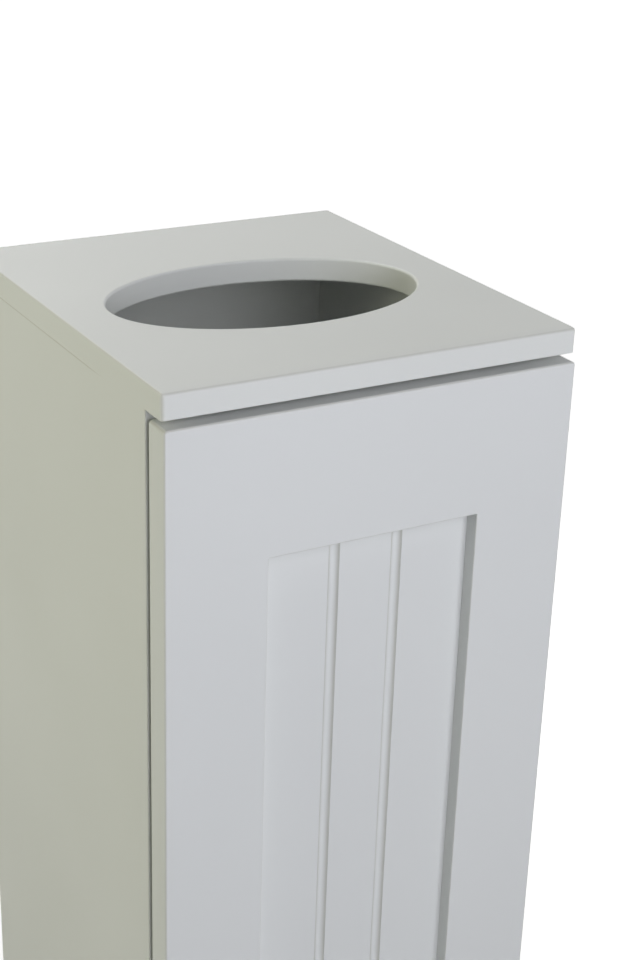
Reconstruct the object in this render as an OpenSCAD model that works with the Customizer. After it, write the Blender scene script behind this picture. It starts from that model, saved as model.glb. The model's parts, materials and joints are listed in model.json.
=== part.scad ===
// Toilet roll storage cabinet: a slim painted bathroom cabinet. Paper is drawn out through an oval slot
// in the top, from a roll that stands on a fixed shelf. Spare rolls stand behind a framed door.
// Lengths are in millimetres. The front faces -Y and +Z is up. The origin is on the floor, in the middle
// of the back panel's foot.

/* [Cabinet] */
// Width across the top board
cabinet_w = 180; // [160:1:240]
// Depth of the top board, front edge to back edge
cabinet_d = 198; // [180:1:260]
// Height from the floor to the top face
cabinet_h = 660; // [600:1:760]
// Thickness of the top board
top_t = 10.5; // [9:0.1:16]
// Thickness of the side panels
side_t = 10; // [9:0.5:16]
// Thickness of the back panel
back_t = 10; // [6:0.5:16]
// How far the back panel sits in from the rear edges
back_inset = 2; // [0.5:0.5:6]
// Radius of the top board's edges
top_edge_r = 1.2; // [0.4:0.1:2]
// Radius of the long edges of the side panels, the base board and the shelves
board_edge_r = 0.6; // [0.2:0.1:1.5]
// Radius of the two edges that meet along the seam under the top board
seam_r = 0.3; // [0.1:0.1:0.8]

/* [Oval slot] */
// Length of the slot, side to side
slot_w = 137; // [90:1:140]
// Width of the slot, front to back
slot_d = 87.5; // [50:0.5:110]
// Distance from the top's front edge to the middle of the slot
slot_setback = 92.5; // [70:0.5:110]
// Radius of the slot's rim
rim_r = 1.2; // [0.4:0.1:3]

/* [Shelves and base] */
// Height of the plinth, which is the underside of the base board
plinth_h = 44; // [30:1:80]
// Thickness of the plinth
plinth_t = 10; // [8:0.5:16]
// How far the plinth sits behind the front edges of the sides
plinth_setback = 25; // [10:1:50]
// Thickness of the base board
base_t = 10; // [9:0.5:16]
// Thickness of both shelves
shelf_t = 10; // [9:0.5:16]
// Clear height of the roll bay, under the top board
roll_bay_h = 135; // [115:1:160]
// Height of the storage shelf's underside above the base board
storage_h = 215; // [150:1:230]
// How far the storage shelf's front edge sits behind the front edges of the sides
storage_setback = 6; // [2:0.5:20]
// Gap between the storage shelf and each side panel
storage_gap = 0.5; // [0.2:0.1:1.5]

/* [Door] */
// Thickness of the door frame
door_t = 13.5; // [11:0.1:18]
// How far the door's face stands ahead of the top's front edge
door_proud = 2.1; // [0:0.1:4]
// Gap between the door's back and the front edges of the sides
door_gap = 1.9; // [1.8:0.1:4]
// Gap between the top board and the door
door_top_gap = 3; // [1.5:0.1:6]
// How far the door's edges sit in from the outer faces of the sides
door_side_inset = 0.3; // [0:0.1:4]
// Height of the door's lower edge above the floor
door_foot = 40; // [20:1:60]
// Width of the left and right stiles
stile_w = 42.9; // [34:0.1:50]
// Height of the top rail
top_rail_h = 58; // [40:0.5:80]
// Height of the bottom rail
bottom_rail_h = 58.5; // [40:0.5:90]
// Radius of the door's outer edges
door_edge_r = 1; // [0.5:0.1:2]
// Radius of the door's four corners, seen from the front
door_corner_r = 1.8; // [0.5:0.1:3]
// Radius of the frame's inner front edges
frame_lip_r = 0.5; // [0.2:0.1:1.5]

/* [Door panel] */
// Depth of the panel's face behind the frame's face
panel_setback = 6.5; // [3:0.1:8]
// How far the panel reaches behind the frame all round
panel_lap = 8; // [4:0.5:10]
// Gap round the panel in its rebate
panel_gap = 0.2; // [0.1:0.05:0.5]
// Number of grooves down the panel
groove_count = 2; // [0:1:4]
// Distance from groove to groove
groove_pitch = 28.3; // [10:0.1:30]
// How far the row of grooves sits to the left of the middle
groove_offset = 0.5; // [0:0.1:4]
// Width of a groove
groove_w = 5; // [2:0.1:8]
// Depth of a groove
groove_depth = 1.3; // [0.5:0.1:2]
// Thickness of the tenons on the rails
tenon_t = 5; // [3:0.5:6]
// Length of the tenons on the rails
tenon_len = 16; // [8:1:24]
// Gap round each tenon in its mortise
tenon_gap = 0.1; // [0.05:0.05:0.3]
// Height of the shoulder above and below each tenon, beyond the panel's lap
tenon_shoulder = 4; // [2:0.5:8]

/* [Knob] */
// Diameter of the knob's head
knob_d = 26; // [18:1:36]
// How far the knob stands out from the door
knob_reach = 23; // [16:1:34]
// Diameter of the knob's foot
knob_foot_d = 13; // [10:1:18]
// Height of the knob above the floor
knob_h = 345; // [250:5:420]
// Diameter of the knob's screw
knob_screw_d = 4; // [3:0.5:5]

/* [Hinges] */
// Length of a hinge
hinge_len = 40; // [30:1:60]
// Distance from the door's end to the middle of a hinge
hinge_inset = 70; // [45:1:110]
// Width of a hinge leaf on the edge of the side panel
leaf_w = 9; // [7:0.5:9.5]
// Thickness of a hinge leaf
leaf_t = 0.8; // [0.6:0.05:0.85]
// Diameter of the hinge pin
pin_d = 2.2; // [1.6:0.1:2.6]
// Radial running gap round the hinge pin
pin_gap = 0.05; // [0.02:0.01:0.1]
// Wall of a knuckle round the pin
knuckle_wall = 0.85; // [0.6:0.05:1.2]
// Number of knuckles on a hinge, an odd number
knuckle_count = 5; // [3:2:7]
// Gap from knuckle to knuckle
knuckle_gap = 0.3; // [0.1:0.05:0.6]
// Gap between the barrel and the outer face of the side panel
barrel_gap = 0.3; // [0.2:0.1:1]
// Diameter of a hinge screw
hinge_screw_d = 2.4; // [2:0.1:3]
// Length of a hinge screw
hinge_screw_len = 9; // [6:0.5:10]
// Distance from a hinge's end to its screws
hinge_screw_inset = 9; // [6:0.5:12]

/* [Catch] */
// Distance from the roll shelf down to the middle of the catch
catch_drop = 42; // [32:1:80]
// Height of the catch housing
catch_h = 30; // [24:1:40]
// Depth of the catch housing, front to back
catch_d = 14; // [10:1:20]
// How far the catch housing stands out from the side panel
catch_reach = 12; // [10:0.5:16]
// Length of each screw lug
catch_lug = 9; // [8:0.5:12]
// Thickness of each screw lug
catch_lug_t = 2.5; // [1.5:0.5:4]
// How far the catch housing sits behind the front edge of the side panel
catch_inset = 0.5; // [0:0.1:1]
// Thickness of the magnet
magnet_t = 4; // [3:0.5:5]
// Thickness of a pole plate
pole_t = 1; // [0.8:0.1:1.5]
// Height of the magnet and its pole plates
magnet_h = 20; // [14:1:22]
// Depth of the magnet and its pole plates behind the housing's face
magnet_d = 9; // [6:0.5:9]
// Thickness of the strike plate
strike_t = 1; // [0.8:0.1:1.2]
// Width of the strike plate
strike_w = 12; // [10:0.5:16]
// Height of the strike plate
strike_h = 28; // [20:1:36]
// Air left between the pole plates and the strike plate with the door shut
strike_gap = 0.3; // [0.2:0.1:0.5]
// Diameter of the catch screws and the strike plate's screw
catch_screw_d = 2.8; // [2:0.1:3.2]
// Length of the catch screws and the strike plate's screw
catch_screw_len = 9; // [6:0.5:9]

/* [Fasteners] */
// Diameter of the dowels
dowel_d = 5; // [4:0.5:6]
// Length of a dowel on each side of the joint
dowel_half = 7; // [5:0.5:8]
// Distance from a board's front and back edges to its cam bolts
joint_inset = 32; // [24:1:50]
// Diameter of a cam bolt's threaded end
bolt_thread_d = 5; // [4:0.5:6]
// Length of a cam bolt's threaded end
bolt_thread_len = 7; // [5:0.5:8]
// Diameter of a cam bolt's shank
bolt_shank_d = 4; // [3:0.5:4.5]
// Diameter of a cam bolt's head
bolt_head_d = 5.6; // [5:0.2:6]
// Distance from the joint to the middle of the cam lock
cam_reach = 20; // [14:1:30]
// Diameter of a cam lock
cam_d = 12; // [10:0.5:15]
// Depth of a cam lock's pocket
cam_depth = 8; // [7:0.5:8]
// Diameter of a shelf pin
peg_d = 5; // [4:0.5:6]
// How far a shelf pin stands out of the side panel
peg_reach = 8; // [6:0.5:12]
// Depth of a shelf pin's hole
peg_depth = 7.5; // [5:0.5:8]
// Distance between the shelf pin holes
peg_pitch = 32; // [24:1:40]
// Gap round each dowel, bolt, screw and shelf pin in its hole
hole_gap = 0.05; // [0.02:0.01:0.1]

/* [Bumpers] */
// Diameter of a door bumper
bumper_d = 6; // [5:0.5:9]
// Thickness of a door bumper
bumper_t = 1.5; // [1:0.1:1.5]
// Distance from the door's end to a bumper
bumper_inset = 24; // [12:1:60]

/* [Hidden] */
$fn = 48;

// A cut runs this far past the face that it opens
over = 1;

// Planes across the cabinet
side_x = cabinet_w / 2;
inner_x = side_x - side_t;
door_x = side_x - door_side_inset;

// Planes along the depth
rear_y = back_t / 2 + back_inset;
back_face_y = -back_t / 2;
top_front_y = rear_y - cabinet_d;
door_front_y = top_front_y - door_proud;
door_back_y = door_front_y + door_t;
side_front_y = door_back_y + door_gap;
storage_front_y = side_front_y + storage_setback;
plinth_front_y = side_front_y + plinth_setback;
slot_y = top_front_y + slot_setback;

// Heights
side_h = cabinet_h - top_t;
base_top_z = plinth_h + base_t;
roll_shelf_z = side_h - roll_bay_h - shelf_t;
storage_shelf_z = base_top_z + storage_h;
peg_z = storage_shelf_z - peg_d / 2 - hole_gap;
door_top_z = side_h - door_top_gap;
door_h = door_top_z - door_foot;

// The door's opening, and the rebate behind it
opening_x = door_x - stile_w;
opening_low_z = door_foot + bottom_rail_h;
opening_high_z = door_top_z - top_rail_h;
panel_front_y = door_front_y + panel_setback;
panel_t = door_t - panel_setback;
tenon_y = door_front_y + (door_t - tenon_t) / 2;

// Rows of joints along the depth of a board that runs from the sides' front edges to the back panel
front_joint_y = side_front_y + joint_inset;
rear_joint_y = back_face_y - joint_inset;
middle_joint_y = (front_joint_y + rear_joint_y) / 2;
joint_ys = [front_joint_y, rear_joint_y];
board_levels = [plinth_h + base_t / 2, roll_shelf_z + shelf_t / 2];
back_dowel_zs = [plinth_h / 2, cabinet_h / 2, side_h - joint_inset];
cam_play = 0.1;

// Hinges
axis_x = side_x + barrel_gap + pin_d / 2 + pin_gap + knuckle_wall;
axis_y = side_front_y - door_gap / 2;
knuckle_r = pin_d / 2 + pin_gap + knuckle_wall;
knuckle_len = (hinge_len - (knuckle_count - 1) * knuckle_gap) / knuckle_count;
leaf_corner_r = 1;
hinge_zs = [door_foot + hinge_inset, door_top_z - hinge_inset];
hinge_screw_x = side_x - leaf_w / 2 - leaf_corner_r / 2;
hinge_head_d = hinge_screw_d + 2 * leaf_t;
pin_head_t = 0.8;

// Catch
catch_z = roll_shelf_z - catch_drop;
catch_y = side_front_y + catch_inset;
magnet_x = -inner_x + catch_reach / 2;
pole_front_y = door_back_y + strike_t + strike_gap;
lug_screw_z = catch_h / 2 + catch_lug / 2;
catch_head_d = 2 * catch_screw_d;
strike_head_d = catch_screw_d + 2 * strike_t;

knob_x = -(door_x - stile_w / 2);
knob_thread = knob_reach / 2;
bumper_x = -(side_x - side_t / 2);

// ---------------------------------------------------------------- shapes

// A rectangle with its own radius at each corner: low-low, high-low, high-high, low-high
module soft_rect(size, radii) {
    corners = [[0, 0], [1, 0], [1, 1], [0, 1]];
    difference() {
        square(size);
        for (i = [0:3])
            if (radii[i] > 0)
                translate([corners[i].x * (size.x - radii[i]), corners[i].y * (size.y - radii[i])])
                    square(radii[i]);
    }
    for (i = [0:3])
        if (radii[i] > 0)
            translate([
                corners[i].x == 0 ? radii[i] : size.x - radii[i],
                corners[i].y == 0 ? radii[i] : size.y - radii[i]
            ]) circle(radii[i]);
}

// A board from low to high whose edges are rounded as seen in plan, from the front and from the side
module board(low, high, plan = [0, 0, 0, 0], front = [0, 0, 0, 0], side = [0, 0, 0, 0]) {
    size = high - low;
    translate(low) intersection() {
        linear_extrude(size.z) soft_rect([size.x, size.y], plan);
        translate([0, size.y, 0]) rotate([90, 0, 0])
            linear_extrude(size.y) soft_rect([size.x, size.z], front);
        rotate([90, 0, 90]) linear_extrude(size.x) soft_rect([size.y, size.z], side);
    }
}

// A plain box from low to high
module block(low, high) {
    translate(low) cube(high - low);
}

// A round bar or hole along +X from the origin
module bar_x(d, len) {
    rotate([0, 90, 0]) cylinder(d = d, h = len);
}

// A round bar or hole along +Y from the origin
module bar_y(d, len) {
    rotate([-90, 0, 0]) cylinder(d = d, h = len);
}

// A countersunk screw, its head's face at the origin and its point along -Z
module flat_screw(d, head_d, len) {
    point = d * 0.8;
    head = (head_d - d) / 2;
    rotate_extrude() polygon([
        [0, 0], [head_d / 2, 0], [d / 2, -head], [d / 2, point - len], [0, -len]
    ]);
}

// The hole for that screw, wider by the gap all round
module flat_screw_hole(d, head_d, len) {
    head = (head_d - d) / 2;
    translate([0, 0, -head]) cylinder(d1 = d + 2 * hole_gap, d2 = head_d + 2 * hole_gap, h = head);
    translate([0, 0, -len - hole_gap]) cylinder(d = d + 2 * hole_gap, h = len + hole_gap);
    cylinder(d = head_d + 2 * hole_gap, h = over);
}

// Both halves of a piece or a hole that lies alike on the left and on the right
module both_sides() {
    children();
    mirror([1, 0, 0]) children();
}

// ---------------------------------------------------------------- joints between the boards

// Everything below has its own frame: the joint's face at x = 0, the board that carries the cam lock on
// the +X side, and the cam lock's face towards -Z.

// A dowel, half of it in each board
module dowel() {
    bevel = dowel_d / 10;
    translate([-dowel_half, 0, 0]) rotate([0, 90, 0]) rotate_extrude() polygon([
        [0, 0], [dowel_d / 2 - bevel, 0], [dowel_d / 2, bevel],
        [dowel_d / 2, 2 * dowel_half - bevel], [dowel_d / 2 - bevel, 2 * dowel_half], [0, 2 * dowel_half]
    ]);
}

module dowel_hole() {
    half = dowel_half + hole_gap;
    translate([-half, 0, 0]) bar_x(dowel_d + 2 * hole_gap, 2 * half);
}

// A cam bolt: threaded end in the side panel, shank, waist and head in the middle of the cam lock
module cam_bolt() {
    waist_d = bolt_shank_d * 0.75;
    head_l = bolt_head_d / 2;
    reach = cam_reach + head_l / 2;
    bevel = bolt_thread_d / 8;
    rotate([0, 90, 0]) rotate_extrude() polygon([
        [0, -bolt_thread_len], [bolt_thread_d / 2 - bevel, -bolt_thread_len],
        [bolt_thread_d / 2, bevel - bolt_thread_len], [bolt_thread_d / 2, 0],
        [bolt_shank_d / 2, 0], [bolt_shank_d / 2, reach - 2 * head_l],
        [waist_d / 2, reach - 1.7 * head_l], [waist_d / 2, reach - head_l],
        [bolt_head_d / 2, reach - head_l * 0.8], [bolt_head_d / 2, reach - head_l * 0.3],
        [bolt_head_d / 3, reach], [0, reach]
    ]);
}

// What a cam joint cuts from the board that holds the thread
module cam_thread_hole() {
    translate([-bolt_thread_len - hole_gap, 0, 0])
        bar_x(bolt_thread_d + 2 * hole_gap, bolt_thread_len + hole_gap + over / 10);
}

// What a cam joint cuts from the board that holds the lock; board_t is that board's thickness
module cam_pocket(board_t) {
    bar_x(bolt_head_d + 2 * cam_play, cam_reach);
    translate([-over, 0, 0]) bar_x(bolt_head_d + 2 * cam_play, over);
    translate([cam_reach, 0, -board_t / 2 - over]) cylinder(d = cam_d, h = cam_depth + over);
}

// A cam lock: a drum with a slot for the bolt's shank, a chamber for its head and a cross for the driver
module cam_lock(board_t) {
    drum_h = cam_depth - cam_play;
    slot = bolt_shank_d + 2 * cam_play;
    chamber_d = bolt_head_d + 4 * cam_play;
    cross = [cam_d / 2, cam_d / 10, over + cam_d / 10];
    translate([cam_reach, 0, -board_t / 2]) difference() {
        cylinder(d = cam_d - 2 * cam_play, h = drum_h);
        translate([0, 0, board_t / 2 - chamber_d / 2]) cylinder(d = chamber_d, h = chamber_d);
        translate([-cam_d, -slot / 2, board_t / 2 - slot / 2]) cube([cam_d, slot, slot]);
        for (turn = [0, 90]) rotate(turn) translate([-cross.x / 2, -cross.y / 2, -over]) cube(cross);
    }
}

// The left side's cam joints with one board, given the height of that board's middle
module at_level(z) {
    for (y = joint_ys) translate([-inner_x, y, z]) children();
}

// The left side's cam joints with the base board and the roll shelf
module at_board_joints() {
    for (z = board_levels) at_level(z) children();
}

// The left side's dowels: one between the cam bolts of each board, two in the plinth, three in the back
// and three under the top board, which is glued on so that no cam lock shows through the slot
module at_board_dowels() {
    for (z = board_levels) translate([-inner_x, middle_joint_y, z]) children();
}

module at_top_dowels() {
    for (y = [front_joint_y, middle_joint_y, rear_joint_y])
        translate([-side_x + side_t / 2, y, side_h]) rotate([0, 90, 0]) children();
}

module at_plinth_dowels() {
    for (share = [0.25, 0.75])
        translate([-inner_x, plinth_front_y + plinth_t / 2, plinth_h * share]) children();
}

module at_back_dowels() {
    for (z = back_dowel_zs) translate([-inner_x, 0, z]) children();
}

// Holes for the shelf pins: three heights, front and rear; the storage shelf stands on the middle ones
module at_pegs(rows) {
    for (row = rows) for (y = joint_ys)
        translate([-inner_x, y, peg_z + row * peg_pitch]) children();
}

// ---------------------------------------------------------------- carcass

// The oval slot as one solid: the rim flares out by a quarter round at both faces
module oval_slot() {
    steps = 5;
    sides = 96;
    fillet = [for (i = [0:steps]) let (a = 90 * i / steps) [rim_r * (1 - sin(a)), rim_r * (1 - cos(a))]];
    levels = concat(
        [[rim_r, -over]],
        fillet,
        [for (i = [steps:-1:0]) [fillet[i][0], top_t - fillet[i][1]]],
        [[rim_r, top_t + over]]
    );
    rings = len(levels);
    points = [
        for (level = levels) for (k = [0:sides - 1]) let (a = 360 * k / sides)
            [(slot_w / 2 + level[0]) * cos(a), (slot_d / 2 + level[0]) * sin(a), level[1]]
    ];
    faces = concat(
        [[for (k = [0:sides - 1]) k]],
        [
            for (r = [0:rings - 2]) for (k = [0:sides - 1]) let (n = (k + 1) % sides)
                [r * sides + k, (r + 1) * sides + k, (r + 1) * sides + n, r * sides + n]
        ],
        [[for (k = [sides - 1:-1:0]) (rings - 1) * sides + k]]
    );
    polyhedron(points, faces);
}

module top_board() {
    top = top_edge_r;
    low = seam_r;
    color([0.93, 0.93, 0.91]) difference() {
        board(
            [-side_x, top_front_y, side_h], [side_x, rear_y, cabinet_h],
            [top, top, top, top], [low, low, top, top], [top / 2, low, top, top]
        );
        translate([0, slot_y, side_h]) oval_slot();
        both_sides() at_top_dowels() dowel_hole();
    }
}

// The left side panel; the right one is its mirror image but for the holes of the catch and the hinges
module plain_side() {
    difference() {
        board(
            [-side_x, side_front_y, 0], [-inner_x, rear_y, side_h],
            [board_edge_r, board_edge_r, board_edge_r, board_edge_r], [0, 0, 0, seam_r], [0, 0, seam_r, 0]
        );
        at_board_joints() cam_thread_hole();
        at_board_dowels() dowel_hole();
        at_top_dowels() dowel_hole();
        at_plinth_dowels() dowel_hole();
        at_back_dowels() dowel_hole();
        at_pegs([-1, 0, 1]) translate([-peg_depth, 0, 0]) bar_x(peg_d + 2 * hole_gap, peg_depth + over);
    }
}

module left_side() {
    color([0.90, 0.91, 0.87]) difference() {
        plain_side();
        at_catch_screws() flat_screw_hole(catch_screw_d, catch_head_d, catch_screw_len);
    }
}

module right_side() {
    color([0.90, 0.91, 0.87]) difference() {
        mirror([1, 0, 0]) plain_side();
        at_frame_screws() flat_screw_hole(hinge_screw_d, hinge_head_d, hinge_screw_len);
    }
}

module back_panel() {
    color([0.88, 0.88, 0.86]) difference() {
        block([-inner_x, -back_t / 2, 0], [inner_x, back_t / 2, side_h]);
        both_sides() at_back_dowels() dowel_hole();
    }
}

module base_board() {
    color([0.92, 0.92, 0.90]) difference() {
        board(
            [-inner_x, side_front_y, plinth_h], [inner_x, back_face_y, base_top_z],
            side = [board_edge_r, 0, 0, board_edge_r]
        );
        both_sides() {
            at_level(board_levels[0]) cam_pocket(base_t);
            at_board_dowels() dowel_hole();
        }
    }
}

module plinth() {
    color([0.92, 0.92, 0.90]) difference() {
        block([-inner_x, plinth_front_y, 0], [inner_x, plinth_front_y + plinth_t, plinth_h]);
        both_sides() at_plinth_dowels() dowel_hole();
    }
}

module roll_shelf() {
    color([0.92, 0.92, 0.90]) difference() {
        board(
            [-inner_x, side_front_y, roll_shelf_z], [inner_x, back_face_y, roll_shelf_z + shelf_t],
            side = [board_edge_r, 0, 0, board_edge_r]
        );
        both_sides() {
            at_level(board_levels[1]) cam_pocket(shelf_t);
            at_board_dowels() dowel_hole();
        }
    }
}

module storage_shelf() {
    reach = inner_x - storage_gap;
    color([0.92, 0.92, 0.90]) board(
        [-reach, storage_front_y, storage_shelf_z],
        [reach, back_face_y - storage_gap, storage_shelf_z + shelf_t],
        side = [board_edge_r, 0, 0, board_edge_r]
    );
}

module shelf_pins() {
    bevel = peg_d / 10;
    len = peg_depth + peg_reach;
    color([0.75, 0.75, 0.76]) both_sides() at_pegs([0]) translate([-peg_depth, 0, 0])
        rotate([0, 90, 0]) rotate_extrude() polygon([
            [0, 0], [peg_d / 2 - bevel, 0], [peg_d / 2, bevel],
            [peg_d / 2, len - bevel], [peg_d / 2 - bevel, len], [0, len]
        ]);
}

module wood_dowels() {
    color([0.83, 0.70, 0.50]) both_sides() {
        at_board_dowels() dowel();
        at_top_dowels() dowel();
        at_plinth_dowels() dowel();
        at_back_dowels() dowel();
    }
}

module cam_bolts() {
    color([0.72, 0.72, 0.73]) both_sides() at_board_joints() cam_bolt();
}

module cam_locks() {
    color([0.68, 0.69, 0.70]) both_sides() {
        at_level(board_levels[0]) cam_lock(base_t);
        at_level(board_levels[1]) cam_lock(shelf_t);
    }
}

// ---------------------------------------------------------------- door

// The rebate that the panel lies in, cut from all four pieces of the frame
module panel_rebate() {
    lap = panel_lap + panel_gap;
    block(
        [-opening_x - lap, panel_front_y, opening_low_z - lap],
        [opening_x + lap, door_back_y + over, opening_high_z + lap]
    );
}

// A tenon of a rail, or with a gap its mortise; low and high are the rail's edges
module tenon(low, high, gap = 0) {
    shoulder = panel_lap + tenon_shoulder;
    reach = opening_x + tenon_len + gap;
    block(
        [-reach, tenon_y - gap, low + shoulder - gap],
        [reach, tenon_y + tenon_t + gap, high - shoulder + gap]
    );
}

module mortises() {
    tenon(door_foot, opening_low_z, tenon_gap);
    tenon(opening_high_z, door_top_z, tenon_gap);
}

// What rounds the stile's inner front edge, between the rails
module stile_lip() {
    translate([-opening_x - frame_lip_r, door_front_y, opening_low_z])
        linear_extrude(opening_high_z - opening_low_z) difference() {
            translate([0, -over]) square([frame_lip_r + over, frame_lip_r + over]);
            translate([0, frame_lip_r]) circle(frame_lip_r);
        }
}

module plain_stile() {
    r = door_edge_r;
    corner = door_corner_r;
    difference() {
        board(
            [-door_x, door_front_y, door_foot], [-opening_x, door_back_y, door_top_z],
            [r, 0, 0, r], [corner, 0, 0, corner], [r, r, r, r]
        );
        panel_rebate();
        stile_lip();
        mortises();
    }
}

module door_left_stile() {
    color([0.93, 0.94, 0.95]) difference() {
        plain_stile();
        translate([knob_x, door_front_y - over, knob_h])
            bar_y(knob_screw_d + 2 * hole_gap, door_t + 2 * over);
        at_strike_screw() flat_screw_hole(catch_screw_d, strike_head_d, catch_screw_len);
    }
}

module door_right_stile() {
    color([0.93, 0.94, 0.95]) difference() {
        mirror([1, 0, 0]) plain_stile();
        at_door_screws() flat_screw_hole(hinge_screw_d, hinge_head_d, hinge_screw_len);
    }
}

// A rail between the stiles, with its tenons; side gives the radii of its edges seen from the side
module rail(low, high, side) {
    color([0.93, 0.94, 0.95]) difference() {
        union() {
            board([-opening_x, door_front_y, low], [opening_x, door_back_y, high], side = side);
            tenon(low, high);
        }
        panel_rebate();
    }
}

module door_top_rail() {
    rail(opening_high_z, door_top_z, [frame_lip_r, 0, door_edge_r, door_edge_r]);
}

module door_bottom_rail() {
    rail(door_foot, opening_low_z, [door_edge_r, door_edge_r, 0, frame_lip_r]);
}

module door_panel() {
    cove_r = (pow(groove_w / 2, 2) + pow(groove_depth, 2)) / (2 * groove_depth);
    low_z = opening_low_z - panel_lap;
    high_z = opening_high_z + panel_lap;
    color([0.93, 0.94, 0.95]) difference() {
        block(
            [-opening_x - panel_lap, panel_front_y, low_z],
            [opening_x + panel_lap, door_back_y, high_z]
        );
        for (i = [0:1:groove_count - 1])
            translate([
                (i - (groove_count - 1) / 2) * groove_pitch - groove_offset,
                panel_front_y + groove_depth - cove_r, low_z - over
            ]) cylinder(r = cove_r, h = high_z - low_z + 2 * over);
    }
}

// ---------------------------------------------------------------- door fittings

// A mushroom knob: foot, waisted neck and domed head, with a blind bore for its screw
module door_knob() {
    head_r = knob_d / 2;
    foot_r = knob_foot_d / 2;
    neck_r = foot_r * 0.7;
    foot_t = 1.2;
    neck_z = knob_reach * 0.4;
    head_z = knob_reach * 0.62;
    rim_z = knob_reach * 0.78;
    color([0.74, 0.73, 0.71]) translate([knob_x, door_front_y, knob_h]) rotate([90, 0, 0]) difference() {
        rotate_extrude() polygon(concat(
            [[0, 0], [foot_r, 0], [foot_r, foot_t]],
            [for (a = [15:15:90]) [foot_r - (foot_r - neck_r) * sin(a), neck_z - (neck_z - foot_t) * cos(a)]],
            [for (a = [0:15:90]) [neck_r + (head_r - neck_r) * sin(a), rim_z - (rim_z - head_z) * cos(a)]],
            [for (a = [10:10:90]) [head_r * cos(a), rim_z + (knob_reach - rim_z) * sin(a)]]
        ));
        translate([0, 0, -over]) cylinder(d = knob_screw_d + 2 * hole_gap, h = knob_thread + 2 * over);
    }
}

// The knob's screw, its pan head on the back of the stile
module knob_screw() {
    r = knob_screw_d / 2;
    head_r = knob_screw_d * 0.95;
    head_h = knob_screw_d / 2;
    soft = 0.6;
    tip_z = door_t + knob_thread;
    color([0.75, 0.75, 0.76]) translate([knob_x, door_back_y, knob_h]) rotate([90, 0, 0]) rotate_extrude()
        polygon([
            [0, -head_h], [head_r - soft, -head_h], [head_r, soft - head_h], [head_r, 0],
            [r, 0], [r, tip_z - soft], [r - soft, tip_z], [0, tip_z]
        ]);
}

module door_bumpers() {
    color([0.85, 0.85, 0.83]) for (z = [door_foot + bumper_inset, door_top_z - bumper_inset])
        translate([bumper_x, door_back_y, z]) rotate([-90, 0, 0]) rotate_extrude() polygon([
            [0, 0], [bumper_d / 2, 0], [bumper_d / 2, bumper_t * 0.4],
            [bumper_d / 2 - bumper_t * 0.6, bumper_t], [0, bumper_t]
        ]);
}

module at_strike_screw() {
    translate([magnet_x, door_back_y + strike_t, catch_z]) rotate([-90, 0, 0]) children();
}

module strike_plate() {
    corner = 2;
    color([0.72, 0.73, 0.74]) difference() {
        translate([magnet_x - strike_w / 2, door_back_y + strike_t, catch_z - strike_h / 2])
            rotate([90, 0, 0]) linear_extrude(strike_t)
                soft_rect([strike_w, strike_h], [corner, corner, corner, corner]);
        at_strike_screw() flat_screw_hole(catch_screw_d, strike_head_d, catch_screw_len);
    }
}

module strike_screw() {
    color([0.75, 0.75, 0.76])
        at_strike_screw() flat_screw(catch_screw_d, strike_head_d, catch_screw_len);
}

// ---------------------------------------------------------------- magnetic catch, on the left side

module at_catch_screws() {
    for (turn = [-1, 1])
        translate([-inner_x + catch_lug_t, catch_y + catch_d / 2, catch_z + turn * lug_screw_z])
            rotate([0, 90, 0]) children();
}

// The pocket for the magnet and its pole plates
module magnet_pocket() {
    half = magnet_t / 2 + pole_t + hole_gap;
    block(
        [magnet_x - half, catch_y - over, catch_z - magnet_h / 2 - hole_gap],
        [magnet_x + half, catch_y + magnet_d + hole_gap, catch_z + magnet_h / 2 + hole_gap]
    );
}

module catch_housing() {
    round_r = 1.5;
    low_z = catch_z - catch_h / 2;
    high_z = catch_z + catch_h / 2;
    color([0.90, 0.90, 0.88]) difference() {
        union() {
            board(
                [-inner_x, catch_y, low_z], [-inner_x + catch_reach, catch_y + catch_d, high_z],
                [0, round_r / 2, round_r, 0], [0, round_r, round_r, 0]
            );
            board(
                [-inner_x, catch_y, low_z - catch_lug],
                [-inner_x + catch_lug_t, catch_y + catch_d, high_z + catch_lug],
                side = [round_r, round_r, round_r, round_r]
            );
        }
        magnet_pocket();
        at_catch_screws() flat_screw_hole(catch_screw_d, catch_head_d, catch_screw_len);
    }
}

module catch_magnet() {
    color([0.20, 0.20, 0.21]) block(
        [magnet_x - magnet_t / 2, catch_y, catch_z - magnet_h / 2],
        [magnet_x + magnet_t / 2, catch_y + magnet_d, catch_z + magnet_h / 2]
    );
}

module catch_poles() {
    color([0.72, 0.73, 0.74]) for (low = [-magnet_t / 2 - pole_t, magnet_t / 2]) block(
        [magnet_x + low, pole_front_y, catch_z - magnet_h / 2],
        [magnet_x + low + pole_t, catch_y + magnet_d, catch_z + magnet_h / 2]
    );
}

module catch_screws() {
    color([0.75, 0.75, 0.76])
        at_catch_screws() flat_screw(catch_screw_d, catch_head_d, catch_screw_len);
}

// ---------------------------------------------------------------- hinges, on the right side

// The places of the hinge screws in the front edge of the right side panel, heads to the front
module at_frame_screws() {
    for (z = hinge_zs) for (turn = [-1, 1])
        translate([hinge_screw_x, side_front_y - leaf_t, z + turn * (hinge_len / 2 - hinge_screw_inset)])
            rotate([90, 0, 0]) children();
}

// The places of the hinge screws in the back of the right stile, heads to the rear
module at_door_screws() {
    for (z = hinge_zs) for (turn = [-1, 1])
        translate([hinge_screw_x, door_back_y + leaf_t, z + turn * (hinge_len / 2 - hinge_screw_inset)])
            rotate([-90, 0, 0]) children();
}

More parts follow.
